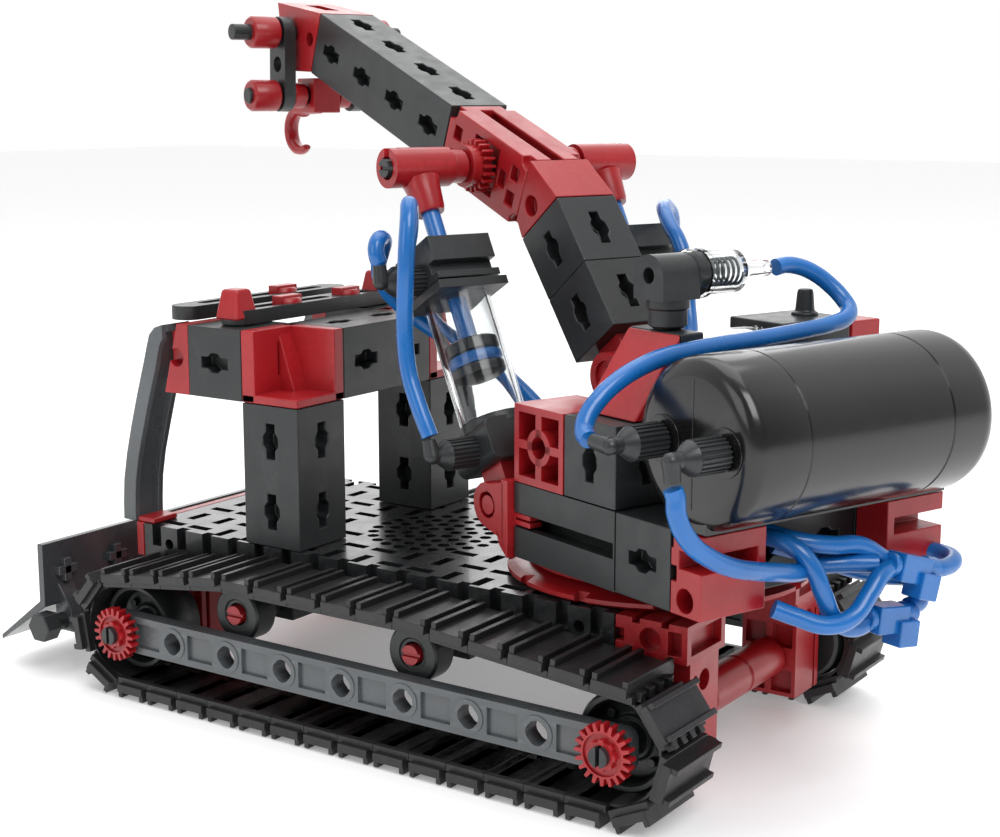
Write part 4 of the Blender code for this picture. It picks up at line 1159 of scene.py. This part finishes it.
def ram(name, side):
    """Clear air cylinder between its foot fork and the boom axle."""
    pitch = math.atan2(ELBOW[1] - RAM_FOOT[1], RAM_FOOT[0] - ELBOW[0])
    length = math.dist(ELBOW, RAM_FOOT)
    u = RAM_U * side
    v, z = RAM_FOOT
    barrel, rod_body = "ram_barrel_" + name, "ram_rod_" + name
    axis = Vector((0, -math.cos(pitch), math.sin(pitch)))
    foot = Vector((u, v, z))

    def turned_at(profile, sides=48):
        return lathe(profile, foot, axis, sides)

    eye = prism(ring(RAM_FOOT, 4.2, 32), u - 4.2, u + 4.2)
    neck = box((u - 4.0, v + 1.0, z - 3.6), (u + 4.0, v + 8.0, z + 3.6))
    tilted(neck, RAM_FOOT, pitch)
    pin = across(*span(side, 16.8, 31.3), RAM_FOOT, AXLE_R, 24)
    put("ram_eye_" + name, [eye, neck, pin], RED, UPPER, barrel, bevel=0.3)
    cap_outline = rounded(u - 7.2, u + 7.2, v + 7.2, v + 15.6, 2.0)
    cap = plate(cap_outline, z - 6.8, z + 6.8)
    tilted(cap, RAM_FOOT, pitch)
    collar = turned_at([(14.6, 0.1), (14.6, 7.0), (16.4, 7.0), (16.8, 6.6), (16.8, 0.1)])
    top_low, top_high = (u - 7.4, v + 45.0, z - 6.8), (u + 7.4, v + 54.0, z + 6.8)
    slots = [box((u - 9.0, v + 46.4, z - 8.0), (u + 9.0, v + 48.8, z - 4.6)),
             box((u - 9.0, v + 46.4, z + 4.6), (u + 9.0, v + 48.8, z + 8.0))]
    top = cut(box(top_low, top_high), slots)
    tilted(top, RAM_FOOT, pitch)
    lip = box((u - 8.2, v + 42.6, z - 7.4), (u + 8.2, v + 44.4, z + 7.4))
    tilted(lip, RAM_FOOT, pitch)
    gland = turned_at([(53.8, 0.1), (53.8, 3.0), (54.8, 2.8), (54.8, 0.1)], 28)
    put("ram_caps_" + name, [cap, collar, top, lip, gland], BLACK, UPPER, barrel,
        ["ram_barrel_" + name], 0.35)
    tube = [(15.4, 6.8), (15.8, 7.0), (17.0, 6.8), (43.0, 6.8), (43.0, 5.7), (15.4, 5.7), (15.4, 6.8)]
    put("ram_tube_" + name, turned_at(tube, 64), CLEAR, UPPER, barrel, bevel=0.0)
    shapes = []
    for s, low in ((11.0, 30.4), (47.5, 30.6)):
        spot = along(RAM_FOOT, pitch, s)
        if side > 0:
            end = (40.4, -20.9, 60.8) if s < 20 else (40.4, -38.3, 92.9)
            shapes += fitting(spot, low + 0.4, 40.4, end)
        else:
            shapes += fitting(spot, 25.2, 34.6, (-35.2, spot[0] - 0.6, spot[1] + 3.6), -1.0)
    put("ram_fittings_" + name, shapes, BLACK, UPPER, barrel, bevel=0.1)
    shaft = turned_at([(27.0, 1.9), (length - 2.0, 1.9)], 32)
    put("ram_rod_shaft_" + name, shaft, BLUE, UPPER, rod_body, ["ram_rod_" + name], 0.1)
    discs = [turned_at([(25.4, 0.1), (25.4, 4.4), (25.8, 5.4), (27.6, 5.4), (27.8, 4.8), (27.8, 0.1)]),
             turned_at([(30.4, 0.1), (30.4, 4.8), (30.6, 5.4), (32.8, 5.4), (33.2, 4.8), (33.2, 0.1)])]
    put("ram_piston_" + name, discs, BLACK, UPPER, rod_body, bevel=0.12)
    seal = turned_at([(27.9, 0.1), (27.9, 5.0), (28.5, 5.5), (29.7, 5.5), (30.3, 5.0), (30.3, 0.1)])
    put("ram_piston_seal_" + name, seal, BLUE, UPPER, rod_body, bevel=0.1)
    a, b = u - 7.2, u + 7.2
    sleeve = prism(ring(ELBOW, 4.1, 36), a, b, [ring(ELBOW, 2.4, 28)])
    slot_a, slot_b = span(side, 28.4, 32.0)
    slot = box((slot_a, ELBOW[0] - 0.9, ELBOW[1] + 2.0), (slot_b, ELBOW[0] + 0.9, ELBOW[1] + 6.0))
    sleeve = cut(sleeve, [slot])
    stem = turned_at([(length - 10.5, 2.0), (length - 10.5, 2.9), (length - 9.6, 3.2), (length - 5.0, 3.6),
                      (length - 3.2, 4.0), (length - 3.0, 0.1)], 32)
    put("ram_sleeve_" + name, [sleeve, stem], RED, UPPER, rod_body, bevel=0.25)


def tees():
    """Blue tees behind the body, with the short bundle of hoses that joins them."""
    shapes = []
    for u, v, z, turn in ((-13.2, 52.0, 43.4, 0.28), (-9.0, 51.0, 34.8, 0.12)):
        spot = Vector((u, v, z))
        body = [box(spot + Vector((-3.6, -2.3, -2.6)), spot + Vector((4.0, 2.3, 2.4))),
                box(spot + Vector((-5.6, -1.2, -5.0)), spot + Vector((-0.8, 3.2, -0.2))),
                rod(spot + Vector((4.0, 0, 0)), spot + Vector((5.6, 0, 0)), 2.1, 24),
                rod(spot + Vector((-6.6, 0, 0.6)), spot + Vector((-3.6, 0, 0.6)), 2.1, 24)]
        shapes += tilted_about(body, spot, turn)
    put("hose_tees", shapes, BLUE, UPPER, "slewing_body", ["hose_tee"], 0.3)
    routes = [[(-18.6, 52.0, 42.6), (-22.5, 52.2, 42.0), (-26.6, 50.8, 42.4), (-28.2, 47.2, 42.6),
               (-27.0, 43.0, 42.6)],
              [(-8.4, 52.0, 44.2), (-5.2, 52.8, 43.6), (-1.6, 53.4, 40.8), (2.4, 53.6, 37.6),
               (7.4, 52.4, 36.6), (12.0, 49.2, 38.2), (15.0, 47.0, 39.6)],
              [(-8.6, 50.0, 45.4), (-4.0, 48.8, 48.2), (1.6, 47.4, 48.8), (7.0, 44.6, 49.8),
               (11.0, 39.5, 51.2)],
              [(-14.8, 51.0, 35.8), (-18.4, 50.4, 36.4), (-18.0, 49.2, 39.2), (-12.0, 47.8, 41.2),
               (-5.0, 46.0, 43.2), (2.0, 42.6, 46.2), (8.0, 39.4, 48.2)],
              [(-4.8, 50.8, 34.8), (-1.0, 50.8, 34.2), (3.4, 50.4, 36.4), (5.8, 49.8, 41.0),
               (7.4, 48.2, 46.2), (9.4, 44.6, 49.6), (11.4, 40.0, 50.6)]]
    for i, route in enumerate(routes):
        obj = blue_curve("hose_bundle_%d" % (i + 1), [UPPER @ Vector(p) for p in route], 5, 8)
        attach(obj, "slewing_body")


lower_boom()
elbow()
boom_axle()
fore_boom()
tip_and_hook()
for side_name, side_sign in both_sides():
    ram(side_name, side_sign)
tees()

# ------------------------------------------------------------------ studio


def studio():
    shape = bmesh.new()
    bmesh.ops.create_grid(shape, x_segments=1, y_segments=1, size=3.0)
    floor = mesh_object(shape, "floor")
    floor.location = (0, 0, -0.0002)
    white = bpy.data.materials.new("floor_white")
    white.use_nodes = True
    white.node_tree.nodes["Principled BSDF"].inputs["Base Color"].default_value = (0.90, 0.90, 0.90, 1)
    white.node_tree.nodes["Principled BSDF"].inputs["Roughness"].default_value = 0.7
    white.node_tree.nodes["Principled BSDF"].inputs["Emission Color"].default_value = (1, 1, 1, 1)
    white.node_tree.nodes["Principled BSDF"].inputs["Emission Strength"].default_value = 0.25
    floor.data.materials.append(white)
    world = bpy.data.worlds.new("studio")
    world.use_nodes = True
    nodes, links = world.node_tree.nodes, world.node_tree.links
    place = nodes.new("ShaderNodeTexCoord")
    facing = nodes.new("ShaderNodeVectorMath")
    facing.operation = "DOT_PRODUCT"
    facing.inputs[1].default_value = (LOOK.x, LOOK.y, 0.25)
    links.new(place.outputs["Generated"], facing.inputs[0])
    shade = nodes.new("ShaderNodeMapRange")
    for key, value in (("From Min", -0.35), ("From Max", 0.35), ("To Min", 0.30), ("To Max", 1.0)):
        shade.inputs[key].default_value = value
    links.new(facing.outputs["Value"], shade.inputs["Value"])
    links.new(shade.outputs["Result"], nodes["Background"].inputs["Strength"])
    nodes["Background"].inputs["Color"].default_value = (1.0, 1.0, 1.0, 1)
    bpy.context.scene.world = world
    bpy.context.scene.view_settings.view_transform = "Standard"
    for name, spot, aim, size, power in (
            ("key", (0.35, 0.55, 0.75), (0, 0, 0.05), 0.5, 4.5),
            ("side", (0.85, -0.25, 0.45), (0, 0, 0.05), 0.5, 1.5),
            ("top", (-0.15, -0.1, 0.95), (0, 0, 0.05), 0.8, 3.0),
            ("back", (-0.7, -0.5, 0.5), (0, 0, 0.1), 0.6, 1.5)):
        data = bpy.data.lights.new(name, "AREA")
        data.size = size
        data.energy = power
        light = bpy.data.objects.new(name, data)
        light.location = spot
        light.rotation_mode = "QUATERNION"
        light.rotation_quaternion = (Vector(aim) - Vector(spot)).to_track_quat("-Z", "Y")
        bpy.context.scene.collection.objects.link(light)


studio()
